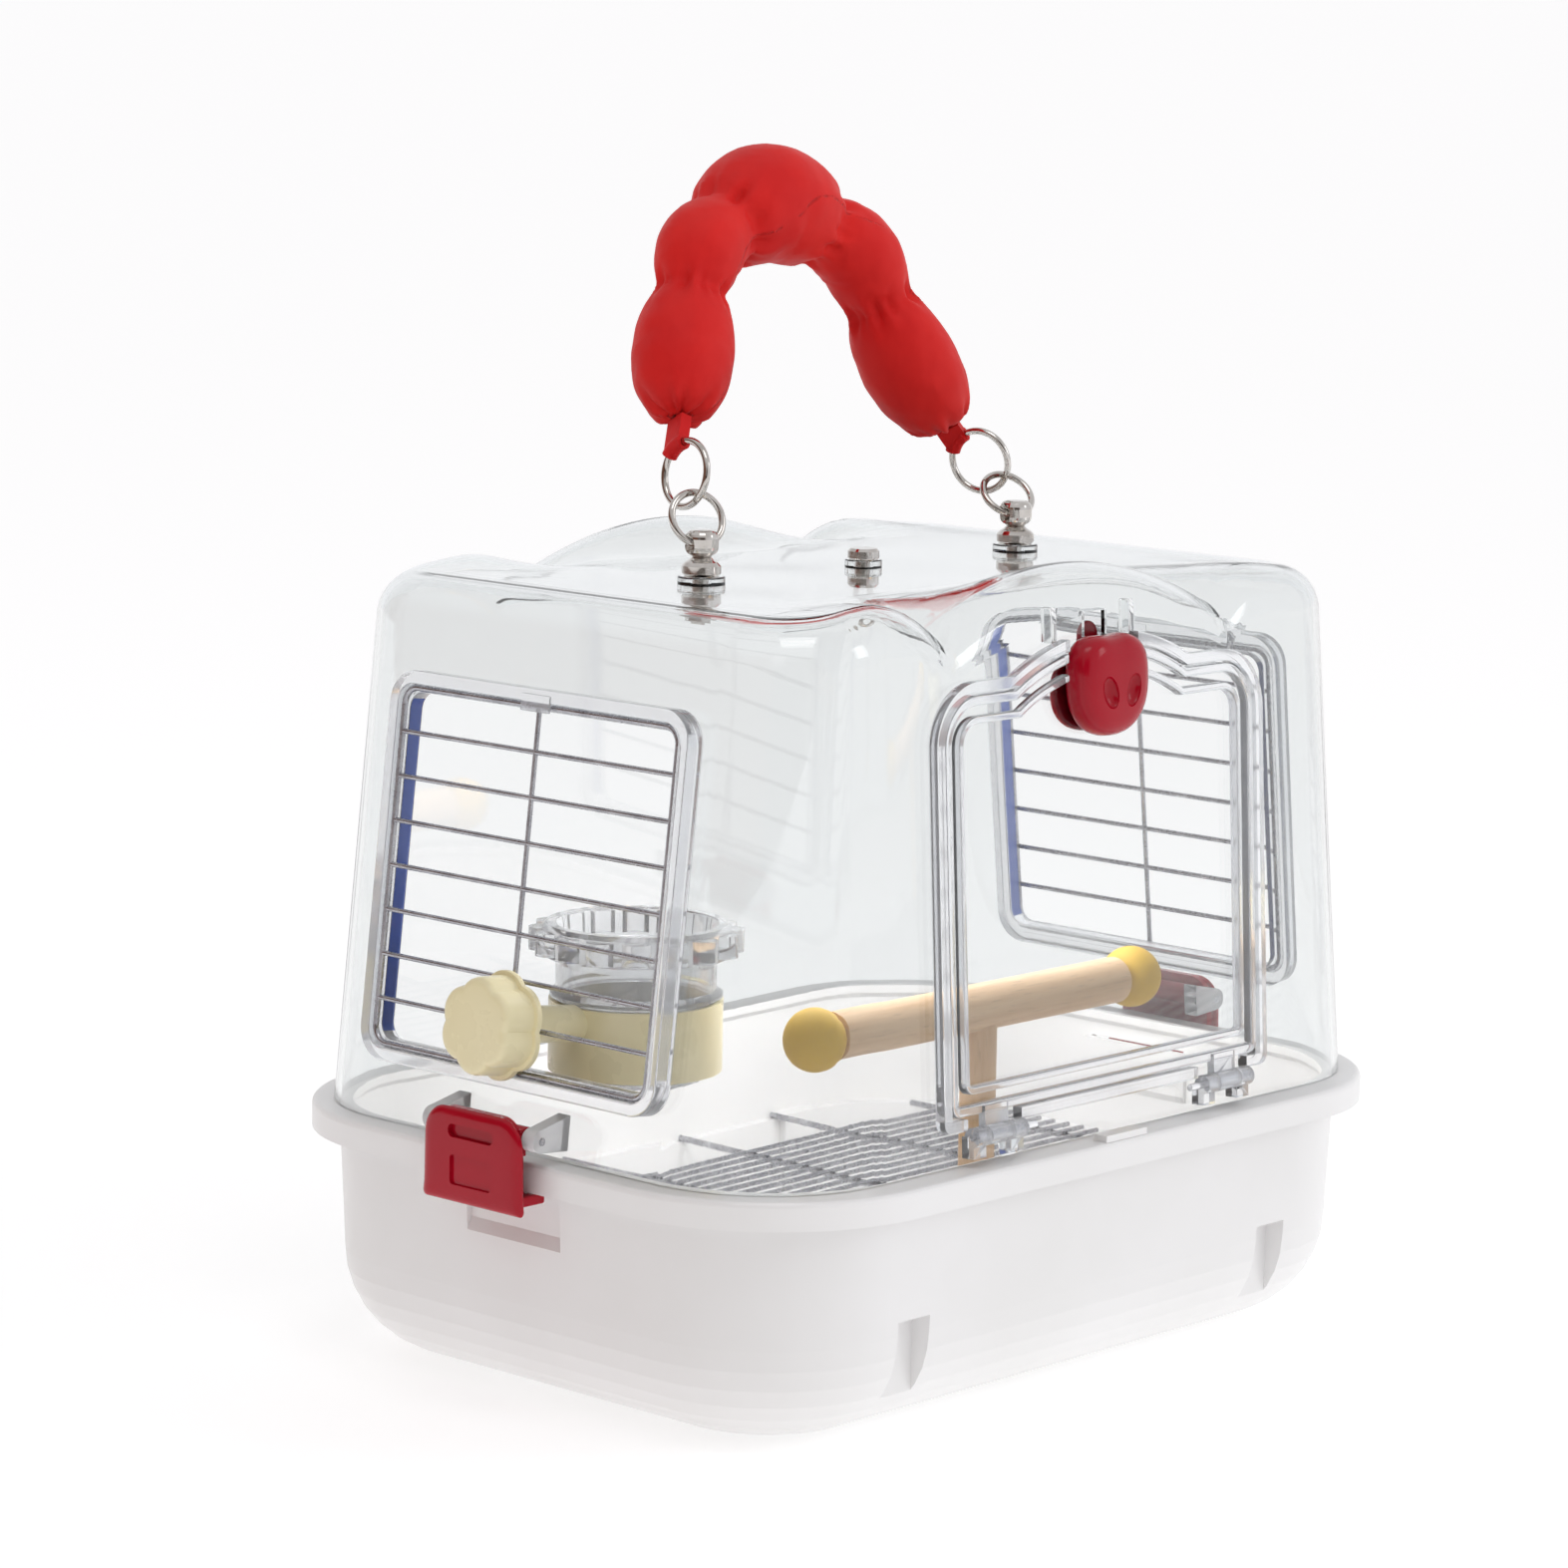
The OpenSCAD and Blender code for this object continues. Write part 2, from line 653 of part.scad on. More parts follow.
module wire_window(side) {
    on_end(side) translate([0, window_mid, grille_w]) {
        wire_loop(2 * window_x, window_h, window_r - 1, wire_outer_d);
        for (i = [1:wire_rows - 1])
            translate([-window_x, i * wire_pitch - window_h / 2, 0]) rotate([0, 90, 0])
                cylinder(d = wire_d, h = 2 * window_x, $fn = wire_fn);
        translate([0, window_h / 2, 0]) rotate([90, 0, 0])
            cylinder(d = wire_d, h = window_h, $fn = wire_fn);
    }
}

module left_wire_window() {
    color(steel) wire_window(-1);
}

module right_wire_window() {
    color(steel) wire_window(1);
}

// Door

neck_v = way_top_v - door_inset - button_h / 2 + 2;
neck_w = 12;
neck_h = 9;
leaf_h = 10;

module door() {
    color(clear) on_front() difference() {
        union() {
            way(door_inset, -dome_t, 0);
            difference() {
                union() {
                    difference() {
                        way(door_inset, -eps, door_rib_h);
                        way(door_inset + door_rib_w, -1, door_rib_h + 1);
                    }
                    difference() {
                        way(door_inset + door_inner, -eps, door_rib_h);
                        way(door_inset + door_inner + door_inner_w, -1, door_rib_h + 1);
                    }
                }
                translate([-button_w / 2 - 1.5, way_small_v - 20, 0]) cube([button_w + 3, 50, 10]);
            }
            for (s = [-1, 1]) {
                hinge_knuckle(s * hinge_x, knuckle_door);
                translate([s * hinge_x - knuckle_door / 2, hinge_v, hinge_w - 3])
                    cube([knuckle_door, leaf_h, 3]);
                translate([s * hinge_x - knuckle_door / 2, way_v + door_inset, -eps])
                    cube([knuckle_door, leaf_h - way_v - door_inset + hinge_v, hinge_w]);
            }
        }
        for (s = [-1, 1]) hinge_bore(s * hinge_x, pin_d / 2 + play);
        translate([-neck_w / 2 - gap, neck_v - neck_h / 2 - latch_run - gap, -10])
            cube([neck_w + 2 * gap, neck_h + latch_run + 2 * gap, 20]);
    }
}

module door_hinge_pins() {
    half = knuckle_door / 2 + knuckle_gap + knuckle_dome;
    color(steel) on_front() for (s = [-1, 1])
        translate([s * hinge_x - half, hinge_v, hinge_w]) rotate([0, 90, 0])
            cylinder(d = pin_d, h = 2 * half, $fn = round_fn);
}

// Latch

button_v = way_top_v - button_h / 2 - 0.6;
dent_x = 6.5;

module button_outline(g) {
    polygon(concat(arc(button_w / 2 - 9, button_h / 2 - 9, 9 - g, 0, 90, 6),
                   arc(9 - button_w / 2, button_h / 2 - 9, 9 - g, 90, 180, 6),
                   arc(12 - button_w / 2, 12 - button_h / 2, 12 - g, 180, 270, 6),
                   arc(button_w / 2 - 12, 12 - button_h / 2, 12 - g, 270, 360, 6)));
}

module latch_button() {
    color(red) on_front() difference() {
        translate([0, button_v, gap]) {
            linear_extrude(button_t - 3 - gap) button_outline(0);
            translate([0, 0, button_t - 3 - gap]) linear_extrude(1.6) button_outline(1);
            translate([0, 0, button_t - 1.4 - gap]) linear_extrude(1.4) button_outline(2.8);
        }
        for (s = [-1, 1])
            translate([s * dent_x, button_v - 3, button_t + 1.4]) rotate([0, 0, s * 14]) {
                sphere(d = 5.2, $fn = 32);
                translate([0, 1.8, 0]) sphere(d = 3.9, $fn = 32);
            }
        translate([0, neck_v, 0]) cylinder(d = 3 + 2 * seat_play, h = button_t - 4, $fn = 32);
    }
}

module latch_plate() {
    back = -dome_t - gap;
    top_v = way_top_v - door_inset;
    color(red) on_front() {
        translate([0, neck_v, back - plate_t]) rounded_box(plate_w, plate_h, 6, plate_t);
        translate([-bolt_w / 2, neck_v, back - plate_t])
            cube([bolt_w, top_v + bolt_out - neck_v, plate_t]);
        translate([-neck_w / 2, neck_v - neck_h / 2, back - eps])
            cube([neck_w, neck_h, gap * 2 + dome_t - 0.05]);
        translate([0, neck_v, back]) cylinder(d = 3, h = button_t - 5, $fn = 32);
    }
}

// Clips

clip_out = clip_axis_x + clip_barrel_r;
clip_in = clip_out - clip_t;
toe_top = rim_under - gap;

// Side view of the clip: barrel, front plate and the toe that hooks under the rim.
module clip_profile() {
    z = clip_axis_z;
    toe_z = toe_top - clip_toe_t;
    polygon(concat(arc(clip_axis_x, z, clip_barrel_r, 0, 250, 14),
                   [[clip_in, z - clip_barrel_r - 1.5], [clip_in, toe_top],
                    [tray_l / 2 - clip_toe, toe_top], [tray_l / 2 - clip_toe + 1.5, toe_z],
                    [clip_out - 1.5, toe_z - 1], [clip_out - 0.4, toe_z - 0.6], [clip_out, toe_z + 0.6]]));
}

slot_w = 19;
slot_h = 3.6;
square_w = 20;
square_h = 10;
square_line = 2.4;
engrave = 1.2;

module clip(side) {
    color(red) at_end(side) difference() {
        rotate([90, 0, 0]) translate([0, 0, -clip_w / 2]) linear_extrude(clip_w) clip_profile();
        translate([clip_out - engrave, -slot_w / 2, clip_axis_z - 5.5]) cube([10, slot_w, slot_h]);
        translate([clip_out - engrave, -square_w / 2, clip_axis_z - 19.5]) difference() {
            cube([10, square_w, square_h]);
            translate([-1, square_line, square_line])
                cube([1.7, square_w - 2 * square_line, square_h - 2 * square_line]);
        }
        clip_bore(clip_pin_d / 2 + play);
    }
}

module left_clip() {
    clip(-1);
}

module right_clip() {
    clip(1);
}

module clip_pins() {
    half = ear_y + ear_w;
    color(steel) for (side = [-1, 1])
        at_end(side) translate([clip_axis_x, half, clip_axis_z]) rotate([90, 0, 0])
            cylinder(d = clip_pin_d, h = 2 * half, $fn = round_fn);
}

// Swivels and rings

base_z = roof_z + collar_h;
head_z = base_z + swivel_h + head_up;
hole_r = ring_wire_d / 2 + 0.3;
tilt_room = 0.2;

function unit(v) = v / norm(v);

// Directions of a lower ring: along its hole, and from the hole up to its top.
hole_dir = [cos(swivel_turn), -sin(swivel_turn), 0];
function ring_up(side) =
    let (lean = side < 0 ? left_lean : right_lean)
    [sin(swivel_turn) * sin(lean), cos(swivel_turn) * sin(lean), cos(lean)];

function swivel_at(side) = [side * swivel_x, -swivel_y, base_z];
function hole_at(side) = [side * swivel_x, -swivel_y, head_z];
function ring_at(side) = hole_at(side) + lower_ring_r * ring_up(side);
function link_at(side) =
    let (slip = side < 0 ? 0 : right_slip)
    ring_at(side) + lower_ring_r * (cos(slip) * ring_up(side) - sin(slip) * hole_dir);

// Draws a child with its Z axis along one direction and its Y axis as near as may be to another.
module aim(z, y) {
    tip = acos(z[2]);
    way = atan2(z[1], z[0]);
    x1 = [cos(tip) * cos(way), cos(tip) * sin(way), -sin(tip)];
    y1 = [-sin(way), cos(way), 0];
    rotate([0, tip, way]) rotate([0, 0, atan2(-(y * x1), y * y1)]) children();
}

module torus(r, d) {
    rotate_extrude($fn = round_fn) translate([r, 0]) circle(d = d, $fn = wire_fn);
}

// Ring hole, flared at both ends so that the curved wire can swing in it.
module ring_hole() {
    n = 8;
    half = head_d / 2 + 1;
    flare = [for (i = [-n:n])
        let (x = half * i / n, sag = lower_ring_r - sqrt(pow(lower_ring_r, 2) - pow(x, 2)))
        [hole_r + sag + tilt_room * abs(x), x]];
    rotate([0, 90, 0]) rotate_extrude($fn = round_fn) polygon(concat([[0, -half]], flare, [[0, half]]));
}

module swivel(side) {
    color(steel) translate(swivel_at(side)) rotate([0, 0, -swivel_turn]) difference() {
        union() {
            translate([0, 0, -collar_h - dome_t - 7])
                cylinder(d = screw_d, h = collar_h + dome_t + 8, $fn = round_fn);
            rotate_extrude($fn = round_fn) polygon([[0, 0], [swivel_d / 2 - 1, 0], [swivel_d / 2, 1],
                [swivel_d / 2, swivel_h * 0.55], [swivel_d / 2 - 1.2, swivel_h * 0.75],
                [swivel_d / 2 - 2.6, swivel_h - 0.8], [3.6, swivel_h], [0, swivel_h]]);
            translate([0, 0, swivel_h - eps]) rotate_extrude($fn = round_fn)
                polygon(concat([[0, 0], [3.2, 0]], arc(head_d / 2 - 3, 3.6, 3, -70, 0, 4),
                               arc(head_d / 2 - 3, 6.6, 3, 0, 80, 5), [[0, 9.8]]));
        }
        translate([0, 0, swivel_h + head_up]) ring_hole();
    }
}

module left_swivel() {
    swivel(-1);
}

module right_swivel() {
    swivel(1);
}

module swivel_nuts() {
    color(steel) for (side = [-1, 1])
        translate([side * swivel_x, -swivel_y, roof_z - dome_t - 0.05]) mirror([0, 0, 1]) difference() {
            union() {
                cylinder(d = 13, h = 1.2, $fn = round_fn);
                translate([0, 0, 1.2 - eps]) cylinder(d = 9.2, h = 4, $fn = 6);
            }
            translate([0, 0, -1]) cylinder(d = screw_d + 2 * seat_play, h = 8, $fn = round_fn);
        }
}

module lower_ring(side) {
    color(steel) translate(ring_at(side))
        aim(cross(hole_dir, ring_up(side)), ring_up(side)) torus(lower_ring_r, ring_wire_d);
}

module left_lower_ring() {
    lower_ring(-1);
}

module right_lower_ring() {
    lower_ring(1);
}

// The upper ring hangs on the lower ring's top wire and leans back and inwards with the handle.
function upper_dir(side) = unit(side < 0 ? [0.2, 0.62, 0.76] : [-0.3, 0.72, 0.6]);
function upper_flat(side) = let (d = upper_dir(side)) unit([1, 0, 0] - d[0] * d);
link_gap = ring_wire_d + link_play;
function upper_at(side) = link_at(side) + (upper_ring_r - link_gap) * upper_dir(side);

module upper_ring(side) {
    color(steel) translate(upper_at(side)) aim(upper_flat(side), upper_dir(side))
        torus(upper_ring_r, ring_wire_d);
}

module left_upper_ring() {
    upper_ring(-1);
}

module right_upper_ring() {
    upper_ring(1);
}

// Padded handle: its middle line runs through hand-set points, from the left end to the right.
grip_path = [[-71, 21, 337], [-60.5, 30.5, 357], [-50, 37, 378.5], [-41.5, 40.5, 394], [-25, 45, 401.5],
             [0, 48, 409.5], [25, 45, 400.5], [41.5, 40.5, 390], [50, 37, 371.5], [60.5, 30.5, 349],
             [75.4, 25, 326.6]];
grip_end_r = 5;
grip_r = [grip_end_r, bead_end_r, neck_low_r, bead_side_r, neck_high_r, bead_mid_r,
          neck_high_r, bead_side_r, neck_low_r, bead_end_r, grip_end_r];
grip_steps = 5;
grip_sides = 16;

function catmull(a, b, c, d, t) =
    0.5 * (2 * b + (c - a) * t + (2 * a - 5 * b + 4 * c - d) * t * t
           + (3 * b - a - 3 * c + d) * t * t * t);
function path_at(u) =
    let (n = len(grip_path) - 1, k = min(floor(u), n - 1), t = u - k,
         b = grip_path[k], c = grip_path[k + 1],
         a = k > 0 ? grip_path[k - 1] : 2 * b - c, d = k < n - 1 ? grip_path[k + 2] : 2 * c - b)
    catmull(a, b, c, d, t);
function path_dir(u) = unit(path_at(min(len(grip_path) - 1, u + 0.7)) - path_at(max(0, u - 0.7)));

// Radius along the handle: it swells from each neck to the bead's middle and back.
function grip_radius(u) =
    let (k = min(floor(u), len(grip_path) - 2), t = u - k, a = grip_r[k], b = grip_r[k + 1])
    a < b ? a + (b - a) * pow(sin(90 * t), 0.75) : b + (a - b) * pow(cos(90 * t), 0.75);

function grip_ring(u) =
    let (p = path_at(u), d = path_dir(u), side = unit(cross([0, 1, 0], d)), up = cross(d, side),
         r = grip_radius(u))
    [for (i = [0:grip_sides - 1]) let (a = 360 * i / grip_sides) p + r * (cos(a) * side + sin(a) * up)];

module padded_grip() {
    n = grip_sides;
    last = (len(grip_path) - 1) * grip_steps;
    m = last + 1;
    rings = [for (j = [0:last]) grip_ring(j / grip_steps)];
    points = concat([for (r = rings) each r], [grip_path[0], grip_path[len(grip_path) - 1]]);
    faces = concat([for (i = [0:n - 1]) [(i + 1) % n, i, m * n]],
                   [for (j = [0:m - 2], i = [0:n - 1])
                       let (a = j * n + i, b = j * n + (i + 1) % n, c = b + n, e = a + n)
                       each [[a, c, e], [a, b, c]]],
                   [for (i = [0:n - 1]) [(m - 1) * n + i, (m - 1) * n + (i + 1) % n, m * n + 1]]);
    color(cloth) polyhedron(points, faces);
}

tab_bore = ring_wire_d / 2 + 0.12;
tab_gap = 0.95;

// A fabric tab: a loop round the top of the upper ring and a strap up to the handle's end.
module tab(side) {
    top = upper_at(side) + upper_ring_r * upper_dir(side);
    end = side < 0 ? grip_path[0] : grip_path[len(grip_path) - 1];
    strap = end - top;
    turn = asin(tab_w / 2 / upper_ring_r);
    color(cloth) difference() {
        union() {
            translate(upper_at(side)) aim(upper_flat(side), upper_dir(side)) rotate([0, 0, 90 - turn])
                rotate_extrude(angle = 2 * turn, $fn = round_fn)
                    translate([upper_ring_r, 0]) circle(r = tab_bore + tab_t, $fn = wire_fn);
            translate(top) aim(unit(strap), cross(upper_flat(side), upper_dir(side)))
                translate([-tab_bore - tab_t / 2, -tab_w / 2, 0])
                    cube([2 * tab_bore + tab_t, tab_w, norm(strap) - tab_gap]);
        }
        translate(upper_at(side)) aim(upper_flat(side), upper_dir(side)) torus(upper_ring_r, 2 * tab_bore);
    }
}

module left_tab() {
    tab(-1);
}

module right_tab() {
    tab(1);
}

// Roof fitting

module roof_cap() {
    color(steel) translate([0, -swivel_y, base_z]) {
        rotate_extrude($fn = round_fn) polygon([[0, 0], [cap_d / 2 - 0.6, 0], [cap_d / 2, 0.6],
            [cap_d / 2, cap_h - 1], [cap_d / 2 - 1, cap_h], [0, cap_h]]);
        translate([0, 0, -collar_h - dome_t - 3])
            cylinder(d = screw_d, h = collar_h + dome_t + 4, $fn = round_fn);
    }
}

module roof_eye() {
    top = roof_z - dome_t - 0.05;
    color(steel) translate([0, -swivel_y, 0]) {
        translate([0, 0, top - 5]) difference() {
            cylinder(d = 9, h = 5, $fn = round_fn);
            translate([0, 0, 1.8]) cylinder(d = screw_d + 2 * seat_play, h = 8, $fn = round_fn);
        }
        translate([0, 0, top - 5 - eye_r - eye_wire_d / 2 + 0.8]) rotate([90, 0, 0])
            torus(eye_r, eye_wire_d);
    }
}

// Wire floor

cross_z = ledge_z + grate_cross_d / 2;
long_z = cross_z + (grate_cross_d + grate_d) / 2 - 0.1;
cross_end = body_y - tray_t - tray_draft - 1.6;
long_l = (cross_n - 1) * cross_pitch + 2 * grate_end;
corner_cut = 22;

module wire_floor() {
    last = (cross_n - 1) / 2;
    color(steel) {
        for (i = [0:grate_n - 1])
            translate([-long_l / 2, (i - (grate_n - 1) / 2) * grate_pitch, long_z]) rotate([0, 90, 0])
                cylinder(d = grate_d, h = long_l, $fn = wire_fn);
        for (i = [0:cross_n - 1]) {
            x = (i - last) * cross_pitch;
            reach = cross_end - (abs(i - last) == last ? corner_cut : 0);
            translate([x, reach, cross_z]) rotate([90, 0, 0])
                cylinder(d = grate_cross_d, h = 2 * reach, $fn = wire_fn);
        }
    }
}

// Perch

seat_r = ball_d / 2;
seat_off = sqrt(pow(seat_r, 2) - pow(5.8, 2));
saddle_z = perch_z - sqrt(pow(perch_d / 2, 2) - pow(post_d / 2, 2));
post_foot = long_z + grate_d / 2 + 0.05;
post_screw_in = 20;

module perch_bar() {
    color(wood) translate([0, -perch_y, perch_z]) difference() {
        translate([-perch_l / 2, 0, 0]) rotate([0, 90, 0])
            cylinder(d = perch_d, h = perch_l, $fn = round_fn);
        for (s = [0, 1])
            rotate([0, 0, 180 * s]) translate([perch_l / 2 - tenon_l, 0, 0]) rotate([0, 90, 0])
                cylinder(d = tenon_d + 2 * seat_play, h = tenon_l + 1, $fn = round_fn);
        translate([0, 0, -perch_d])
            cylinder(d = tenon_d + 2 * seat_play, h = perch_d + 0.8, $fn = round_fn);
    }
}

module perch_post() {
    color(wood) translate([0, -perch_y, 0]) {
        difference() {
            translate([0, 0, post_foot]) cylinder(d = post_d, h = perch_z - post_foot, $fn = round_fn);
            translate([-perch_l, 0, perch_z]) rotate([0, 90, 0])
                cylinder(d = perch_d + 2 * seat_play, h = 2 * perch_l, $fn = round_fn);
            translate([0, 0, post_foot - 1])
                cylinder(d = post_screw_d + 2 * seat_play, h = post_screw_in + 2, $fn = round_fn);
        }
        translate([0, 0, saddle_z - 6]) cylinder(d = tenon_d, h = perch_z - saddle_z + 6.5, $fn = round_fn);
    }
}

module perch_balls() {
    color(yellow) translate([0, -perch_y, perch_z]) for (s = [0, 1]) rotate([0, 0, 180 * s]) {
        difference() {
            translate([perch_l / 2 + seat_off, 0, 0]) sphere(d = ball_d, $fn = round_fn);
            translate([perch_l / 2 - ball_d + 0.02, -ball_d / 2, -ball_d / 2]) cube(ball_d);
        }
        translate([perch_l / 2 - tenon_l + 0.5, 0, 0]) rotate([0, 90, 0])
            cylinder(d = tenon_d, h = tenon_l + 2, $fn = round_fn);
    }
}

washer_d = 22;
washer_t = 1.6;
under_z = cross_z - grate_cross_d / 2;
screw_below = 14;
wing_l = 9;

// A screw hangs from the post between two long wires, and the wing nut's plate draws the post
// down onto the wire floor.
module perch_screw() {
    color(steel) translate([0, -perch_y, under_z - screw_below])
        cylinder(d = post_screw_d, h = screw_below + post_foot + post_screw_in - under_z, $fn = round_fn);
}

module perch_wing_nut() {
    color(steel) translate([0, -perch_y, under_z - 0.05]) mirror([0, 0, 1]) difference() {
        union() {
            cylinder(d = washer_d, h = washer_t, $fn = round_fn);
            translate([0, 0, washer_t - eps]) cylinder(d = 9, h = 5, $fn = round_fn);
            for (s = [-1, 1])
                translate([s * 3, -1, washer_t + 1]) rotate([0, s * -20, 0])
                    translate([s > 0 ? 0 : -wing_l, 0, 0]) cube([wing_l, 2, 8]);
        }
        translate([0, 0, -1]) cylinder(d = post_screw_d + 2 * play, h = 20, $fn = round_fn);
    }
}

// Food cup

cup_r = cup_d / 2;
cup_foot_r = 9;
stop_z = cup_z + band_h + 4.2;
stop_out = 2;
band_z = stop_z - band_h - 0.1;
band_in = cup_r + gap;
stem_v = window_v + wire_pitch;
bar_w = flange_h - flange_step + wire_outer_d / 2;
flange_w0 = bar_w + wire_outer_d / 2 + gap;
stem_in = dome_x - tan(lean_end) * (cos(lean_end) * stem_v) - cup_x - band_in;

module cup() {
    color(clear) translate([-cup_x, 0, cup_z]) difference() {
        union() {
            rotate_extrude($fn = round_fn) polygon(concat([[0, 0]],
                arc(cup_r - cup_foot_r, cup_foot_r, cup_foot_r, -90, 0, 6),
                [[cup_r, stop_z - cup_z], [cup_r + stop_out, stop_z - cup_z + 1],
                 [cup_r + stop_out, stop_z - cup_z + 2.2],
                 [cup_r, stop_z - cup_z + 4], [cup_r, cup_h - cup_rim_h - 3],
                 [cup_rim_d / 2 - 4.5, cup_h - cup_rim_h], [cup_rim_d / 2 - 4.5, cup_h - 1.5],
                 [cup_rim_d / 2 - 6, cup_h], [0, cup_h]]));
            for (i = [0:cup_ribs - 1])
                rotate([0, 0, 360 * i / cup_ribs]) translate([cup_rim_d / 2 - 5, 0, cup_h - cup_rim_h + 1])
                    cylinder(r = 5, h = cup_rim_h - 3, $fn = wire_fn);
        }
        rotate_extrude($fn = round_fn) polygon(concat([[0, cup_t]],
            arc(cup_r - cup_foot_r, cup_foot_r, cup_foot_r - cup_t, -90, 0, 6),
            [[cup_r - cup_t, cup_h - cup_rim_h - 3], [cup_rim_d / 2 - 9, cup_h + 1], [0, cup_h + 1]]));
    }
}

// The stem, its slots and the knob stand square to the left end wall, where the bars cross.
module on_stem() {
    on_end(-1) translate([0, stem_v, 0]) children();
}

bracket_t = 2.6;
bracket_w = bar_w - wire_outer_d / 2 - gap - bracket_t;
stem_out = flange_w0 + knob_l - 2.5;

module cup_holder() {
    color(cream) difference() {
        union() {
            translate([-cup_x, 0, band_z]) cylinder(r = band_in + band_t, h = band_h, $fn = round_fn);
            on_stem() {
                translate([0, 0, -stem_in - 1])
                    cylinder(d = stem_d, h = stem_in + 1 + stem_out, $fn = round_fn);
                translate([0, 0, bracket_w]) cylinder(d = stem_d + 9, h = bracket_t, $fn = round_fn);
            }
        }
        translate([-cup_x, 0, band_z - 1]) cylinder(r = band_in, h = band_h + 2, $fn = round_fn);
        translate([-cup_x, 0, band_z + band_h]) cylinder(r = band_in + stop_out, h = 40, $fn = round_fn);
        on_stem() {
            translate([-20, -stem_slot / 2, bracket_w - eps]) cube([40, stem_slot, stem_out]);
            translate([-stem_slot / 2, -20, bracket_w - eps]) cube([stem_slot, 40, stem_out]);
        }
    }
}

// Radius of a lobe as a share of the knob's diameter.
knob_lobe_share = 0.27;
// The lobes turn clear of the window's frame, so only the boss reaches down to the wires.
knob_boss_h = flange_h + gap - flange_w0;
knob_lobe_r = knob_d * knob_lobe_share;
knob_steps = 14;

module cup_knob() {
    color(cream) on_stem() translate([0, 0, flange_w0]) difference() {
        union() {
            cylinder(d = knob_boss_d, h = knob_boss_h + 1, $fn = round_fn);
            translate([0, 0, knob_boss_h]) {
                linear_extrude(knob_flange_t) polygon(knob_outline(knob_flange_out));
                linear_extrude(knob_l - knob_boss_h) polygon(knob_outline(0));
            }
        }
        translate([0, 0, -1]) cylinder(d = stem_d + 2 * play, h = knob_l - 1, $fn = round_fn);
    }
}

// Outline of the knob: its lobes' arcs, each in its own sector.
function knob_outline(out) =
    let (sector = 360 / knob_lobes, off = knob_d / 2 - knob_lobe_r, r = knob_lobe_r + out)
    [for (k = [0:knob_lobes - 1], i = [0:knob_steps - 1])
        let (b = sector * (i / knob_steps - 0.5), a = sector * (k + 0.5) + b)
        (off * cos(b) + sqrt(r * r - pow(off * sin(b), 2))) * [cos(a), sin(a)]];

tray();
dome();
left_wire_window();
right_wire_window();
door();
door_hinge_pins();
latch_button();
latch_plate();
left_clip();
right_clip();
clip_pins();
left_swivel();
right_swivel();
swivel_nuts();
left_lower_ring();
right_lower_ring();
left_upper_ring();
right_upper_ring();
left_tab();
right_tab();
padded_grip();
roof_cap();
roof_eye();
wire_floor();
perch_bar();
perch_post();
perch_balls();
perch_screw();
perch_wing_nut();
cup();
cup_holder();
cup_knob();
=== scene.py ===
import json
import math

import bpy
from mathutils import Matrix, Vector, kdtree, noise

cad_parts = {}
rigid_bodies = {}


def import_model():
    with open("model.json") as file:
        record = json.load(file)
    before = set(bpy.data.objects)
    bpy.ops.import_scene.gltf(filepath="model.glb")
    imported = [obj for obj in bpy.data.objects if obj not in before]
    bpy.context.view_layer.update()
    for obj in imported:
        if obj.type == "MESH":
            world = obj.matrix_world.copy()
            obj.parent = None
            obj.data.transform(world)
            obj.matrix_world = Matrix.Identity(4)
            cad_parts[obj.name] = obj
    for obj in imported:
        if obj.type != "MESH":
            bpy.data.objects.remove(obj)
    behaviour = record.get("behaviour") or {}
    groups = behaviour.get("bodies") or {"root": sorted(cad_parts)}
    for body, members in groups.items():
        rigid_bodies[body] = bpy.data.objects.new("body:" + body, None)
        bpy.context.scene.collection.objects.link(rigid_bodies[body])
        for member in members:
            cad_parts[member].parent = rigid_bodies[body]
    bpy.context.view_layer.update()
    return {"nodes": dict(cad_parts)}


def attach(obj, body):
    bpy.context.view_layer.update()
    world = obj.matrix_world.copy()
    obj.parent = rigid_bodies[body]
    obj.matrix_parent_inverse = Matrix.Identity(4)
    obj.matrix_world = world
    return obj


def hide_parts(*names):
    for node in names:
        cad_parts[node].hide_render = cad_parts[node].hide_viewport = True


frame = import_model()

MM = 0.001

# The carrier's main sizes, in millimetres, as in the solids: tray, dome walls and roof edge first.
TRAY_H = 92.0
DOME_X = 171.0
DOME_Y = 122.0
DOME_R = 52.0
DOME_R_FALL = 0.097
LEAN_END = math.radians(6.6)
LEAN_SIDE = math.radians(3.2)
ROOF_Z = 281.0
ROOF_EDGE_R = 17.0
SHELL = 2.4
LOBE_X = 74.0
LOBE_RISE = 10.5
LOBE_DIP = 8.0
SMALL_X = 100.0
SMALL_RISE = 3.0
SMALL_FADE = 35.0
LOBE_START = 62.0
LOBE_RUN = 36.0

# How far in front of the wall's inner face the doorway rib and the window frames begin.
ROOT = 0.35

# Doorway, its rib, the door and its hinges.
WAY_X = 88.4
WAY_V = 13.0
WAY_SMALL_V = 165.3
WAY_TOP_V = 177.3
WAY_SMALL_R = 22.0
WAY_BIG_R = 100.0
WAY_RIB_W = 4.0
WAY_RIB_H = 4.0
DOOR_INSET = 4.8
HINGE_X = 62.5
HINGE_V = 10.5
HINGE_W = 4.8
HINGE_GAP = 14.0
KNUCKLE_R = 3.5
KNUCKLE_SIDE = 9.7
KNUCKLE_HALF = 3.2
ARM_HALF = 6.0
LATCH_GAP = 18.5
NOTCH_HALF = 6.0
KEEPER_X = 21.0

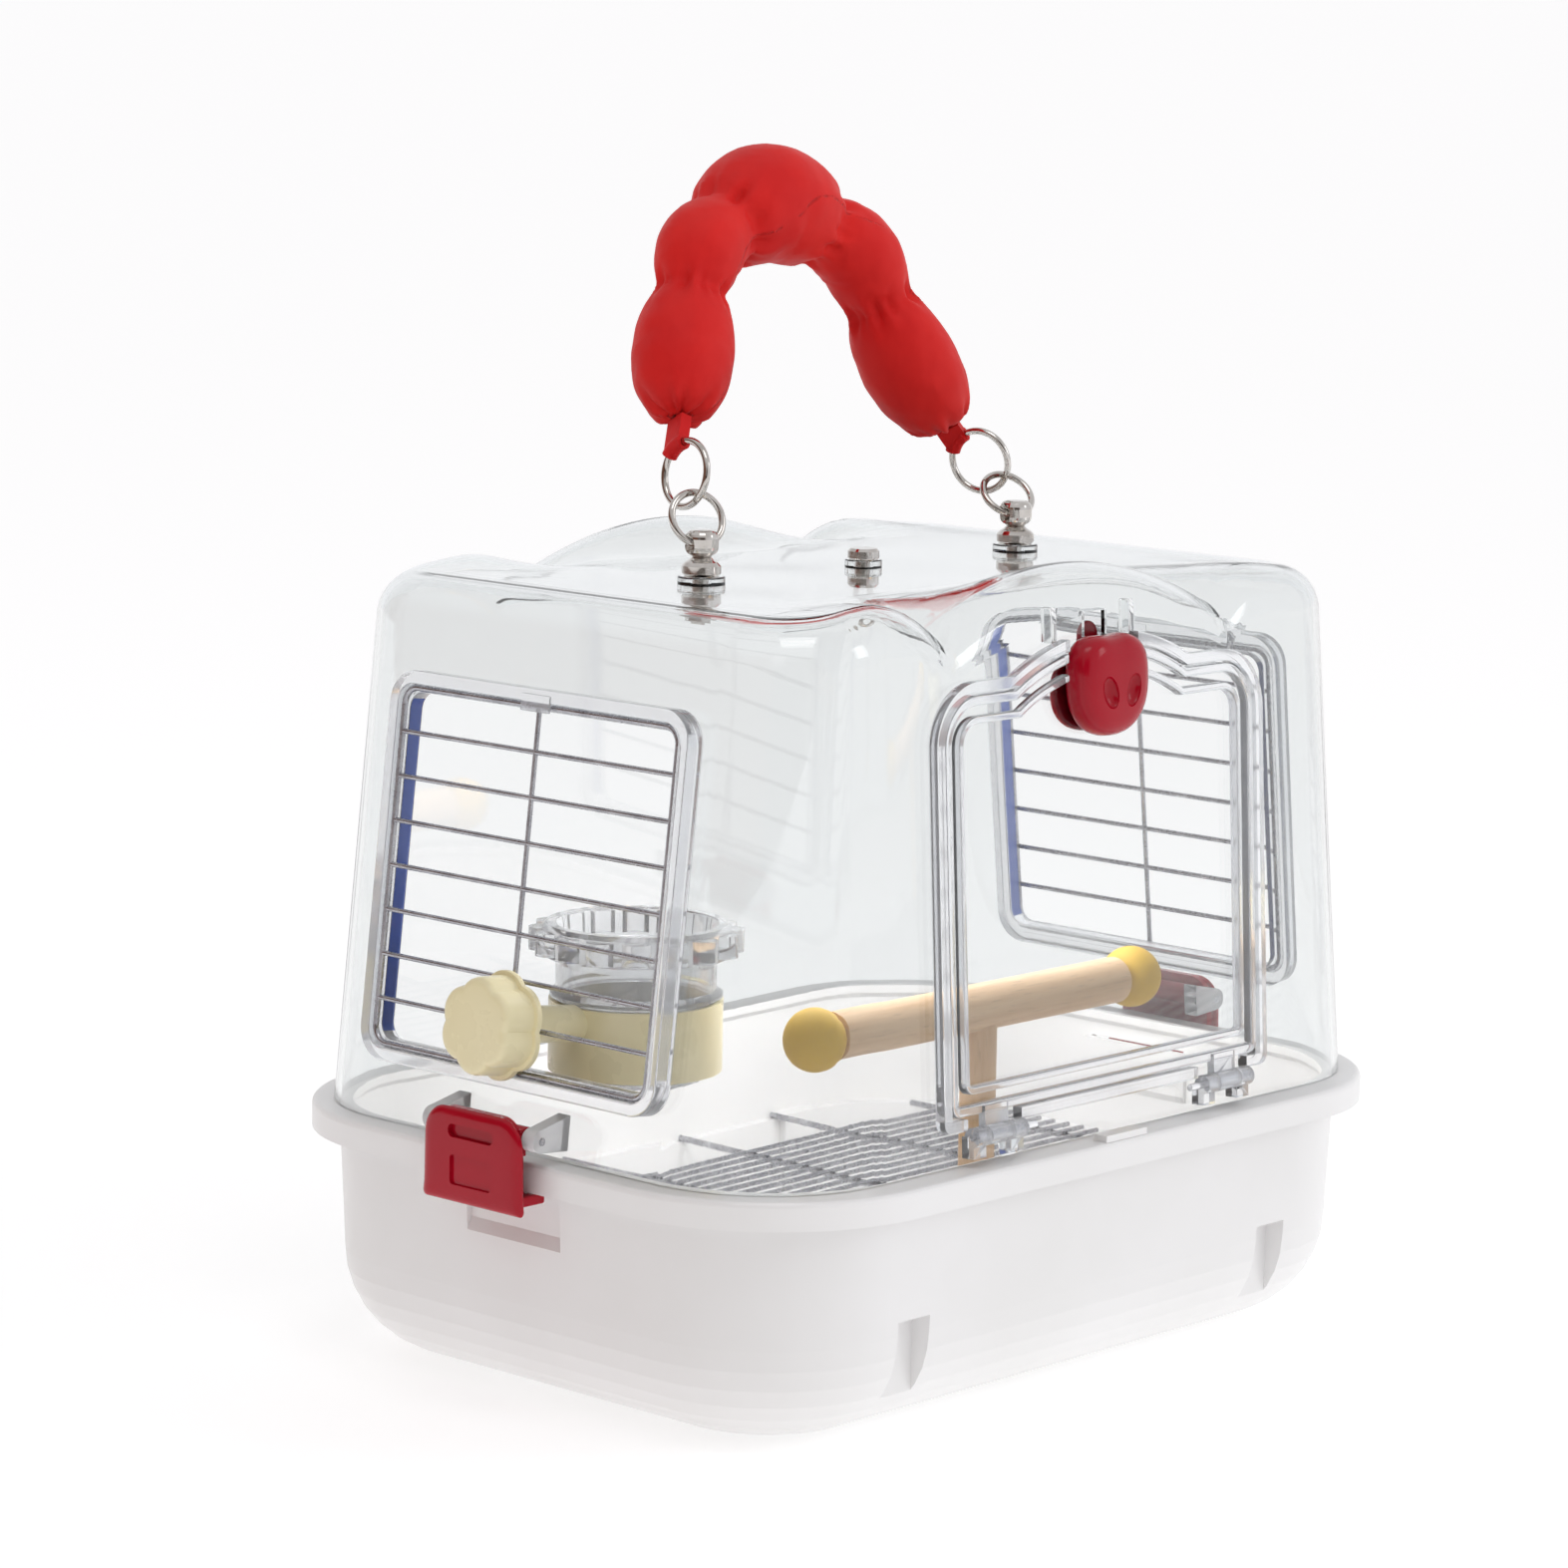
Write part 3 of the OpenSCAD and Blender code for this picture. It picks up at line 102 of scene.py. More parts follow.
# Windows in the end walls.
WINDOW_MID = 90.4
WINDOW_OPEN = (129.8, 121.8)
WINDOW_SEAT = (135.6, 127.6)
FLANGE_W = 4.6
FLANGE_H = 7.5
FLANGE_STEP = 3.2

# End clips: the pin they turn on, their ears, their face and what is sunk into it.
CLIP_X = 182.5
CLIP_Z = 101.5
EAR_Y = 24.4
EAR_R = 4.2
CLIP_TOP = 108.4
CLIP_FOOT = 75.4
CLIP_MID = 91.6
CLIP_FACE = 23.8
CLIP_WEB = 20.9
CLIP_TOE = 20.6
SLOT_UP = 9.0
PANEL_DOWN = 4.6
PIN_R = 1.58

# Latch button and the plate behind the door.
BUTTON_X = 18.6
BUTTON_UP = 16.2
BUTTON_DOWN = 19.8
BUTTON_MID = 160.5
DENT_X = 6.2
DENT_V = 156.5
NECK_V = 156.5

# Cup knob.
STEM_V = 43.6
STEM_R = 6.5
KNOB_LOBES = 6
KNOB_OFF = 8.2
LOBE_R = 9.8
KNOB_BOSS_R = 17.0

# Collars on the roof and their bores.
SWIVEL_X = 84.0
SWIVEL_Y = -3.0
COLLAR_R = 8.4
CAP_COLLAR_R = 6.75
ROOF_BORE_R = 2.52

# Middle line of the padded handle, its radius at each point, and the points where it is gathered.
GRIP_PATH = [(-71, 21, 337), (-60.5, 30.5, 357), (-50, 37, 378.5), (-41.5, 40.5, 394), (-25, 45, 401.5),
             (0, 48, 409.5), (25, 45, 400.5), (41.5, 40.5, 390), (50, 37, 371.5), (60.5, 30.5, 349),
             (75.4, 25, 326.6)]
GRIP_R = [5, 19.6, 9.6, 17, 11.8, 23.2, 11.8, 17, 9.6, 19.6, 5]
FULLNESS = 0.42
GRIP_SIDES = 28
GRIP_STEPS = 160
GRIP_SHARE = 0.94
LARGEST_STEP = 0.002
NECKS = (0, 2, 4, 6, 8, 10)
SEAM_SIDE = Vector((-0.62, 0.78, 0.0))


# Working with pieces


def only(obj):
    """Leaves edit mode and selects one piece alone."""
    if bpy.context.object and bpy.context.object.mode != "OBJECT":
        bpy.ops.object.mode_set(mode="OBJECT")
    bpy.ops.object.select_all(action="DESELECT")
    obj.select_set(True)
    bpy.context.view_layer.objects.active = obj


def clear_choice():
    if bpy.context.object and bpy.context.object.mode != "OBJECT":
        bpy.ops.object.mode_set(mode="OBJECT")
    bpy.ops.object.select_all(action="DESELECT")


def choose_vertices(obj, test):
    """Goes into edit mode with the vertices chosen whose place passes the test."""
    only(obj)
    bpy.ops.object.mode_set(mode="EDIT")
    bpy.ops.mesh.select_mode(type="VERT")
    bpy.ops.mesh.select_all(action="DESELECT")
    bpy.ops.object.mode_set(mode="OBJECT")
    for v in obj.data.vertices:
        v.select = test(v.co)
    bpy.ops.object.mode_set(mode="EDIT")


def leave_edit():
    bpy.ops.object.mode_set(mode="OBJECT")


def apply_modifier(obj, kind, **settings):
    only(obj)
    mod = obj.modifiers.new(kind.title(), kind)
    for key, value in settings.items():
        setattr(mod, key, value)
    bpy.ops.object.modifier_apply(modifier=mod.name)
    return obj


def round_edges(obj, width, segments=2, angle=40):
    return apply_modifier(obj, "BEVEL", width=width * MM, segments=segments, limit_method="ANGLE",
                          angle_limit=math.radians(angle), harden_normals=False, use_clamp_overlap=True)


def cut(obj, tool):
    apply_modifier(obj, "BOOLEAN", operation="DIFFERENCE", object=tool, solver="EXACT")
    bpy.data.objects.remove(tool)
    return obj


def fuse(obj, tool):
    apply_modifier(obj, "BOOLEAN", operation="UNION", object=tool, solver="EXACT")
    bpy.data.objects.remove(tool)
    return obj


def face_outwards(obj):
    only(obj)
    bpy.ops.object.mode_set(mode="EDIT")
    bpy.ops.mesh.select_all(action="SELECT")
    bpy.ops.mesh.remove_doubles(threshold=1e-6)
    bpy.ops.mesh.normals_make_consistent(inside=False)
    leave_edit()
    return obj


def place(obj, matrix):
    """Moves a piece drawn in a wall's or fitting's own plane to its place on the carrier."""
    only(obj)
    obj.matrix_world = matrix @ obj.matrix_world
    bpy.ops.object.transform_apply(location=True, rotation=True, scale=True)
    return obj


def copy_of(obj, name):
    other = obj.copy()
    other.data = obj.data.copy()
    other.name = name
    bpy.context.scene.collection.objects.link(other)
    return other


def smooth(obj, angle):
    only(obj)
    bpy.ops.object.shade_smooth_by_angle(angle=math.radians(angle))
    return apply_modifier(obj, "WEIGHTED_NORMAL", keep_sharp=True, weight=60)


def finish_piece(obj, name, body, material, stands_for):
    obj.name = name
    obj.data.name = name
    obj.data.materials.clear()
    obj.data.materials.append(material)
    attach(obj, body)
    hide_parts(*stands_for)
    return obj


def outline_plate(points, low, high):
    """A plate whose outline runs through the points, from one height to another, in millimetres."""
    clear_choice()
    bpy.ops.mesh.primitive_circle_add(vertices=len(points), radius=1, fill_type="NGON")
    obj = bpy.context.object
    for v, p in zip(obj.data.vertices, points):
        v.co = Vector((p[0], p[1], low)) * MM
    only(obj)
    bpy.ops.object.mode_set(mode="EDIT")
    bpy.ops.mesh.select_all(action="SELECT")
    bpy.ops.mesh.extrude_region_move(TRANSFORM_OT_translate={"value": (0, 0, (high - low) * MM)})
    leave_edit()
    return face_outwards(obj)


def outline_ring(points, width, low, high):
    """A rib that follows the points on their inner side."""
    clear_choice()
    bpy.ops.mesh.primitive_circle_add(vertices=len(points), radius=1, fill_type="NGON")
    obj = bpy.context.object
    for v, p in zip(obj.data.vertices, points):
        v.co = Vector((p[0], p[1], low)) * MM
    only(obj)
    bpy.ops.object.mode_set(mode="EDIT")
    bpy.ops.mesh.select_mode(type="FACE")
    bpy.ops.mesh.select_all(action="SELECT")
    bpy.ops.mesh.inset(thickness=width * MM, use_even_offset=True)
    bpy.ops.mesh.delete(type="FACE")
    bpy.ops.mesh.select_all(action="SELECT")
    bpy.ops.mesh.extrude_region_move(TRANSFORM_OT_translate={"value": (0, 0, (high - low) * MM)})
    leave_edit()
    return face_outwards(obj)


def block(x0, x1, y0, y1, z0, z1):
    clear_choice()
    middle = ((x0 + x1) / 2 * MM, (y0 + y1) / 2 * MM, (z0 + z1) / 2 * MM)
    bpy.ops.mesh.primitive_cube_add(size=1, location=middle)
    obj = bpy.context.object
    obj.scale = ((x1 - x0) * MM, (y1 - y0) * MM, (z1 - z0) * MM)
    bpy.ops.object.transform_apply(location=True, rotation=True, scale=True)
    return obj


def rod(radius, length, at, along=(0, 0, 1), sides=48):
    """A round bar from a point, along a direction, in millimetres."""
    clear_choice()
    bpy.ops.mesh.primitive_cylinder_add(vertices=sides, radius=radius * MM, depth=length * MM,
                                        location=(0, 0, length / 2 * MM))
    obj = bpy.context.object
    bpy.ops.object.transform_apply(location=True, rotation=True, scale=True)
    turn = Vector(along).to_track_quat("Z", "Y").to_matrix().to_4x4()
    return place(obj, Matrix.Translation(Vector(at) * MM) @ turn)


def extrude_to(obj, old, new):
    """Extrudes the chosen edge loop and sets its new points, which are listed in the loop's order."""
    bpy.ops.mesh.extrude_region_move()
    leave_edit()
    tree = nearest_index(old)
    for v in obj.data.vertices:
        if v.select:
            v.co = new[tree.find(v.co)[1]]
    bpy.ops.object.mode_set(mode="EDIT")


def lofted(loops, close_ends=True):
    """A skin through a list of closed loops of points, in metres."""
    clear_choice()
    filled = "NGON" if close_ends else "NOTHING"
    bpy.ops.mesh.primitive_circle_add(vertices=len(loops[0]), radius=1, fill_type=filled)
    obj = bpy.context.object
    for v, p in zip(obj.data.vertices, loops[0]):
        v.co = p
    only(obj)
    bpy.ops.object.mode_set(mode="EDIT")
    bpy.ops.mesh.select_mode(type="EDGE")
    bpy.ops.mesh.select_all(action="SELECT")
    if close_ends:
        bpy.ops.mesh.region_to_loop()
    for old, new in zip(loops, loops[1:]):
        extrude_to(obj, old, new)
    if close_ends:
        bpy.ops.mesh.edge_face_add()
    leave_edit()
    return face_outwards(obj)


def arc(cx, cy, r, a0, a1, n):
    return [(cx + r * math.cos(math.radians(a0 + (a1 - a0) * i / n)),
             cy + r * math.sin(math.radians(a0 + (a1 - a0) * i / n))) for i in range(n + 1)]


def rounded_rectangle(w, h, r, n=8):
    return (arc(w / 2 - r, h / 2 - r, r, 0, 90, n) + arc(r - w / 2, h / 2 - r, r, 90, 180, n)
            + arc(r - w / 2, r - h / 2, r, 180, 270, n) + arc(w / 2 - r, r - h / 2, r, 270, 360, n))


# The front wall's plane and the end walls' planes: x along the wall, y up the wall, z out of it.
FRONT = Matrix(((1, 0, 0, 0),
                (0, math.sin(LEAN_SIDE), -math.cos(LEAN_SIDE), -DOME_Y * MM),
                (0, math.cos(LEAN_SIDE), math.sin(LEAN_SIDE), TRAY_H * MM),
                (0, 0, 0, 1)))


def end_plane(side):
    wall = Matrix(((1, 0, 0, 0),
                   (0, math.sin(LEAN_END), -math.cos(LEAN_END), -DOME_X * MM),
                   (0, math.cos(LEAN_END), math.sin(LEAN_END), TRAY_H * MM),
                   (0, 0, 0, 1)))
    return Matrix.Rotation(math.radians(90 * side), 4, "Z") @ wall


def facing(side):
    """Turns what is drawn for the right end towards the given end."""
    return Matrix.Rotation(math.radians(0 if side > 0 else 180), 4, "Z")


def nearest_index(points):
    """A search tree over a list of points that gives their place in the list."""
    tree = kdtree.KDTree(len(points))
    for i, p in enumerate(points):
        tree.insert(p, i)
    tree.balance()
    return tree


# Finishes


def linear(r, g, b):
    def one(c):
        c = c / 255
        return c / 12.92 if c <= 0.04045 else ((c + 0.055) / 1.055) ** 2.4
    return (one(r), one(g), one(b), 1.0)


def new_finish(name):
    mat = bpy.data.materials.new(name)
    mat.use_nodes = True
    nodes = mat.node_tree.nodes
    shader = nodes["Principled BSDF"]
    coords = nodes.new("ShaderNodeTexCoord")
    return mat, nodes, mat.node_tree.links, shader, coords.outputs["Object"]


def noise_node(nodes, links, coords, scale, detail=4, stretch=None):
    if stretch:
        mapping = nodes.new("ShaderNodeMapping")
        mapping.inputs["Scale"].default_value = stretch
        links.new(coords, mapping.inputs["Vector"])
        coords = mapping.outputs["Vector"]
    tex = nodes.new("ShaderNodeTexNoise")
    tex.inputs["Scale"].default_value = scale
    tex.inputs["Detail"].default_value = detail
    links.new(coords, tex.inputs["Vector"])
    return tex.outputs["Fac"]


def spread(nodes, links, value, low, high):
    """Maps a value of 0.3 to 0.7 onto a range."""
    node = nodes.new("ShaderNodeMapRange")
    node.inputs["From Min"].default_value = 0.3
    node.inputs["From Max"].default_value = 0.7
    node.inputs["To Min"].default_value = low
    node.inputs["To Max"].default_value = high
    links.new(value, node.inputs["Value"])
    return node.outputs["Result"]


def two_tone(nodes, links, value, first, second):
    ramp = nodes.new("ShaderNodeValToRGB")
    ramp.color_ramp.elements[0].position = 0.3
    ramp.color_ramp.elements[0].color = first
    ramp.color_ramp.elements[1].position = 0.7
    ramp.color_ramp.elements[1].color = second
    links.new(value, ramp.inputs["Fac"])
    return ramp.outputs["Color"]


def bump(nodes, links, value, strength, distance):
    node = nodes.new("ShaderNodeBump")
    node.inputs["Strength"].default_value = strength
    node.inputs["Distance"].default_value = distance * MM
    links.new(value, node.inputs["Height"])
    return node


def moulded(name, light, dark, rough, coat=0.0, grain=0.3, gloss=0.5):
    """Moulded plastic: slow colour drift, uneven gloss and a fine skin texture."""
    mat, nodes, links, shader, co = new_finish(name)
    links.new(two_tone(nodes, links, noise_node(nodes, links, co, 14, 3), dark, light),
              shader.inputs["Base Color"])
    links.new(spread(nodes, links, noise_node(nodes, links, co, 60, 5), rough - 0.05, rough + 0.07),
              shader.inputs["Roughness"])
    skin = bump(nodes, links, noise_node(nodes, links, co, 900, 2), grain, 0.05)
    links.new(skin.outputs["Normal"], shader.inputs["Normal"])
    shader.inputs["Coat Weight"].default_value = coat
    shader.inputs["Coat Roughness"].default_value = 0.06
    shader.inputs["Specular IOR Level"].default_value = gloss
    return mat


def clear_moulding(name, tint, rough=0.012, clearness=1.0):
    """Clear polished plastic with faint flow waves and fine handling marks."""
    mat, nodes, links, shader, co = new_finish(name)
    shader.inputs["Base Color"].default_value = tint
    shader.inputs["Transmission Weight"].default_value = clearness
    shader.inputs["IOR"].default_value = 1.49
    handled = noise_node(nodes, links, co, 25, 6)
    links.new(spread(nodes, links, handled, max(rough - 0.01, 0.0), rough + 0.02),
              shader.inputs["Roughness"])
    waves = bump(nodes, links, noise_node(nodes, links, co, 9, 1), 0.25, 0.6)
    links.new(waves.outputs["Normal"], shader.inputs["Normal"])
    return mat


def metal(name, light, dark, rough):
    """Drawn or plated metal with small changes of shade and gloss."""
    mat, nodes, links, shader, co = new_finish(name)
    shader.inputs["Metallic"].default_value = 1.0
    links.new(two_tone(nodes, links, noise_node(nodes, links, co, 120, 3), dark, light),
              shader.inputs["Base Color"])
    links.new(spread(nodes, links, noise_node(nodes, links, co, 400, 4), rough * 0.7, rough * 1.5),
              shader.inputs["Roughness"])
    fine = bump(nodes, links, noise_node(nodes, links, co, 1500, 2), 0.15, 0.02)
    links.new(fine.outputs["Normal"], shader.inputs["Normal"])
    return mat


def turned_wood(name, light, dark, along):
    """Pale beech: long grain, short dark flecks and a fine sanded surface."""
    mat, nodes, links, shader, co = new_finish(name)
    long_way = tuple(3 if i == along else 70 for i in range(3))
    fleck_way = tuple(60 if i == along else 700 for i in range(3))
    grain = two_tone(nodes, links, noise_node(nodes, links, co, 4, 6, long_way), dark, light)
    flecks = nodes.new("ShaderNodeValToRGB")
    flecks.color_ramp.elements[0].position = 0.60
    flecks.color_ramp.elements[0].color = (0, 0, 0, 1)
    flecks.color_ramp.elements[1].position = 0.72
    flecks.color_ramp.elements[1].color = (0.55, 0.55, 0.55, 1)
    links.new(noise_node(nodes, links, co, 2.4, 2, fleck_way), flecks.inputs["Fac"])
    mix = nodes.new("ShaderNodeMix")
    mix.data_type = "RGBA"
    links.new(flecks.outputs["Color"], mix.inputs["Factor"])
    links.new(grain, mix.inputs["A"])
    mix.inputs["B"].default_value = tuple(c * 0.62 for c in dark[:3]) + (1,)
    links.new(mix.outputs["Result"], shader.inputs["Base Color"])
    shader.inputs["Roughness"].default_value = 0.55
    sanded = bump(nodes, links, noise_node(nodes, links, co, 5, 4, fleck_way), 0.25, 0.08)
    links.new(sanded.outputs["Normal"], shader.inputs["Normal"])
    return mat


def woven(name, light, dark, thread=0.45, seam=False):
    """Plain woven cloth: crossed threads, slow shade changes and a soft sheen."""
    mat, nodes, links, shader, co = new_finish(name)
    colour = two_tone(nodes, links, noise_node(nodes, links, co, 35, 4), dark, light)
    heights = []
    for turn in ((0, 0.6, 0.8), (0, 0.6, -0.8)):
        mapping = nodes.new("ShaderNodeMapping")
        mapping.inputs["Rotation"].default_value = turn
        links.new(co, mapping.inputs["Vector"])
        wave = nodes.new("ShaderNodeTexWave")
        wave.inputs["Scale"].default_value = 0.32 / (thread * MM)
        wave.inputs["Distortion"].default_value = 0.6
        wave.inputs["Detail"].default_value = 1
        links.new(mapping.outputs["Vector"], wave.inputs["Vector"])
        heights.append(wave.outputs["Fac"])
    both = nodes.new("ShaderNodeMath")
    both.operation = "MAXIMUM"
    links.new(heights[0], both.inputs[0])
    links.new(heights[1], both.inputs[1])
    weave = bump(nodes, links, both.outputs["Value"], 0.35, 0.06)
    creases = bump(nodes, links, noise_node(nodes, links, co, 90, 5), 0.5, 0.35)
    links.new(creases.outputs["Normal"], weave.inputs["Normal"])
    normal = weave
    if seam:
        groove = nodes.new("ShaderNodeAttribute")
        groove.attribute_name = "seam_gap"
        line = nodes.new("ShaderNodeMapRange")
        line.interpolation_type = "SMOOTHSTEP"
        line.inputs["From Min"].default_value = 0.0
        line.inputs["From Max"].default_value = 0.9
        links.new(groove.outputs["Fac"], line.inputs["Value"])
        normal = bump(nodes, links, line.outputs["Result"], 0.8, 0.5)
        links.new(weave.outputs["Normal"], normal.inputs["Normal"])
        shade = nodes.new("ShaderNodeMix")
        shade.data_type = "RGBA"
        links.new(line.outputs["Result"], shade.inputs["Factor"])
        shade.inputs["A"].default_value = tuple(c * 0.7 for c in dark[:3]) + (1,)
        links.new(colour, shade.inputs["B"])
        colour = shade.outputs["Result"]
    links.new(colour, shader.inputs["Base Color"])
    links.new(normal.outputs["Normal"], shader.inputs["Normal"])
    shader.inputs["Roughness"].default_value = 0.6
    shader.inputs["Specular IOR Level"].default_value = 0.2
    shader.inputs["Sheen Weight"].default_value = 0.06
    shader.inputs["Sheen Roughness"].default_value = 0.4
    return mat


CLEAR = clear_moulding("clear_plastic", (0.90, 0.915, 0.915, 1))
RIB = clear_moulding("rib_plastic", (0.93, 0.945, 0.975, 1), 0.09, 0.76)
EAR = clear_moulding("ear_plastic", (0.95, 0.955, 0.97, 1), 0.2, 0.5)
# Deep blue tint for the window frames' inner edge faces: painted shade that stands in for the dark edge-on
# look of the clear plastic.
EDGE_SHADE = clear_moulding("painted_edge_shade", (0.05, 0.08, 0.26, 1), 0.1, 0.25)
CUP_CLEAR = clear_moulding("cup_plastic", (0.96, 0.97, 0.985, 1), 0.04, 0.80)
WHITE = moulded("white_plastic", linear(244, 243, 243), linear(239, 238, 237), 0.34, 0.2, 0.1)
RED = moulded("red_plastic", linear(176, 6, 34), linear(160, 4, 28), 0.12, 0.0, gloss=0.28)
RED_DARK = moulded("dark_red_plastic", linear(130, 8, 26), linear(112, 6, 20), 0.2, 0.1, gloss=0.3)
CREAM = moulded("cream_plastic", linear(243, 233, 194), linear(238, 226, 181), 0.28, 0.2)
YELLOW = moulded("yellow_stained_wood", linear(226, 186, 58), linear(212, 168, 44), 0.62, 0.0, 0.6)
WIRE = metal("drawn_wire", linear(190, 190, 194), linear(158, 158, 164), 0.24)
CHROME = metal("plated_steel", linear(214, 210, 206), linear(186, 180, 174), 0.07)
BEECH = turned_wood("beech_bar", linear(230, 198, 160), linear(212, 174, 132), 0)
BEECH_POST = turned_wood("beech_post", linear(226, 192, 152), linear(206, 166, 124), 2)
CLOTH = woven("red_cloth", linear(224, 36, 31), linear(209, 25, 24), seam=True)
TAB_CLOTH = woven("red_tape", linear(222, 30, 30), linear(204, 20, 22), 0.6)


def dress(node, material):
    """Gives a CAD solid its finish."""
    obj = frame["nodes"][node]
    obj.data.materials.clear()
    obj.data.materials.append(material)


for node in ("left_wire_window", "right_wire_window", "wire_floor", "door_hinge_pins", "clip_pins"):
    dress(node, WIRE)
for node in ("left_swivel", "right_swivel", "swivel_nuts", "left_lower_ring", "right_lower_ring",
             "left_upper_ring", "right_upper_ring", "roof_cap", "roof_eye", "perch_screw",
             "perch_wing_nut"):
    dress(node, CHROME)
for node, material in (("tray", WHITE), ("perch_bar", BEECH), ("perch_post", BEECH_POST),
                       ("perch_balls", YELLOW), ("cup", CUP_CLEAR), ("cup_holder", CREAM),
                       ("cup_knob", CREAM), ("latch_plate", RED_DARK), ("latch_button", RED),
                       ("left_clip", RED), ("right_clip", RED), ("dome", CLEAR), ("door", CLEAR)):
    dress(node, material)


# Dome


def ease(t):
    t = max(0.0, min(1.0, t))
    return t * t * (3 - 2 * t)


def lobe(x):
    u = abs(x)
    if u < LOBE_X:
        return LOBE_RISE - (LOBE_RISE + LOBE_DIP) * (u / LOBE_X) ** 2
    if u < SMALL_X:
        return SMALL_RISE - (SMALL_RISE + LOBE_DIP) * ((u - SMALL_X) / (SMALL_X - LOBE_X)) ** 2
    return SMALL_RISE * (1 - ease((u - SMALL_X) / SMALL_FADE))


def roof_height(x, y):
    return ROOF_Z + lobe(x) * ease((abs(y) - LOBE_START) / LOBE_RUN)


def dome_outline(z, inset):
    """Plan of the dome at one height, as points in millimetres."""
    a = DOME_X - math.tan(LEAN_END) * (z - TRAY_H) - inset
    b = DOME_Y - math.tan(LEAN_SIDE) * (z - TRAY_H) - inset
    r = max(DOME_R - DOME_R_FALL * (z - TRAY_H) - inset, 3)
    corners = [(a - r, b - r), (r - a, b - r), (r - a, r - b), (a - r, r - b)]
    points = []
    for q, (cx, cy) in enumerate(corners):
        ex, ey = corners[(q + 1) % 4]
        side = 56 if q % 2 == 0 else 8
        points += arc(cx, cy, r, 90 * q, 90 * q + 90, 14)
        ox, oy = r * math.cos(math.radians(90 * q + 90)), r * math.sin(math.radians(90 * q + 90))
        points += [(cx + ox + (ex - cx) * i / side, cy + oy + (ey - cy) * i / side) for i in range(1, side)]
    return points


def dome_loops():
    loops = [[Vector((x, y, TRAY_H)) * MM for x, y in dome_outline(TRAY_H, 0)]]
    tops = [roof_height(x, y) for x, y in dome_outline(ROOF_Z, ROOF_EDGE_R)]
    for turn in range(0, 91, 9):
        a = math.radians(turn)
        loop = []
        for i, top in enumerate(tops):
            foot = top - ROOF_EDGE_R
            x, y = dome_outline(foot, ROOF_EDGE_R * (1 - math.cos(a)))[i]
            loop.append(Vector((x, y, foot + ROOF_EDGE_R * math.sin(a))) * MM)
        loops.append(loop)
    for inset in (3, 6, 10, 14, 19, 24, 30, 36, 43, 51):
        edge = dome_outline(ROOF_Z, ROOF_EDGE_R + inset)
        loops.append([Vector((x, y, roof_height(x, y))) * MM for x, y in edge])
    return loops


def doorway(inset, n=14):
    """Cloud-topped outline of the doorway on the front wall."""
    hx, low = WAY_X - inset, WAY_V + inset
    small_v, small_r, big_r = WAY_SMALL_V - inset, WAY_SMALL_R - inset, WAY_BIG_R - inset
    centre = WAY_TOP_V - WAY_BIG_R
    start = math.degrees(math.asin((small_v - centre) / big_r))
    half = arc(hx - 4, low + 4, 4, -90, 0, 6) + arc(hx - small_r, small_v - small_r, small_r, 0, 90, n) \
        + arc(0, centre, big_r, start, 90, n)
    return half + [(-x, y) for x, y in reversed(half[:-1])]


def dome_walls():
    """The dome's walls and roof alone, as a shell of even thickness."""
    loops = dome_loops()
    shell = lofted(loops, close_ends=False)
    top = nearest_index(loops[-1])
    choose_vertices(shell, lambda co: top.find(co)[2] < 1e-6)
    bpy.ops.mesh.edge_face_add()
    leave_edit()
    face_outwards(shell)
    if max(shell.data.polygons, key=lambda f: f.area).normal.z < 0:
        bpy.ops.object.mode_set(mode="EDIT")
        bpy.ops.mesh.select_all(action="SELECT")
        bpy.ops.mesh.flip_normals()
        leave_edit()
    return apply_modifier(shell, "SOLIDIFY", thickness=SHELL * MM, offset=-1, use_even_offset=True)


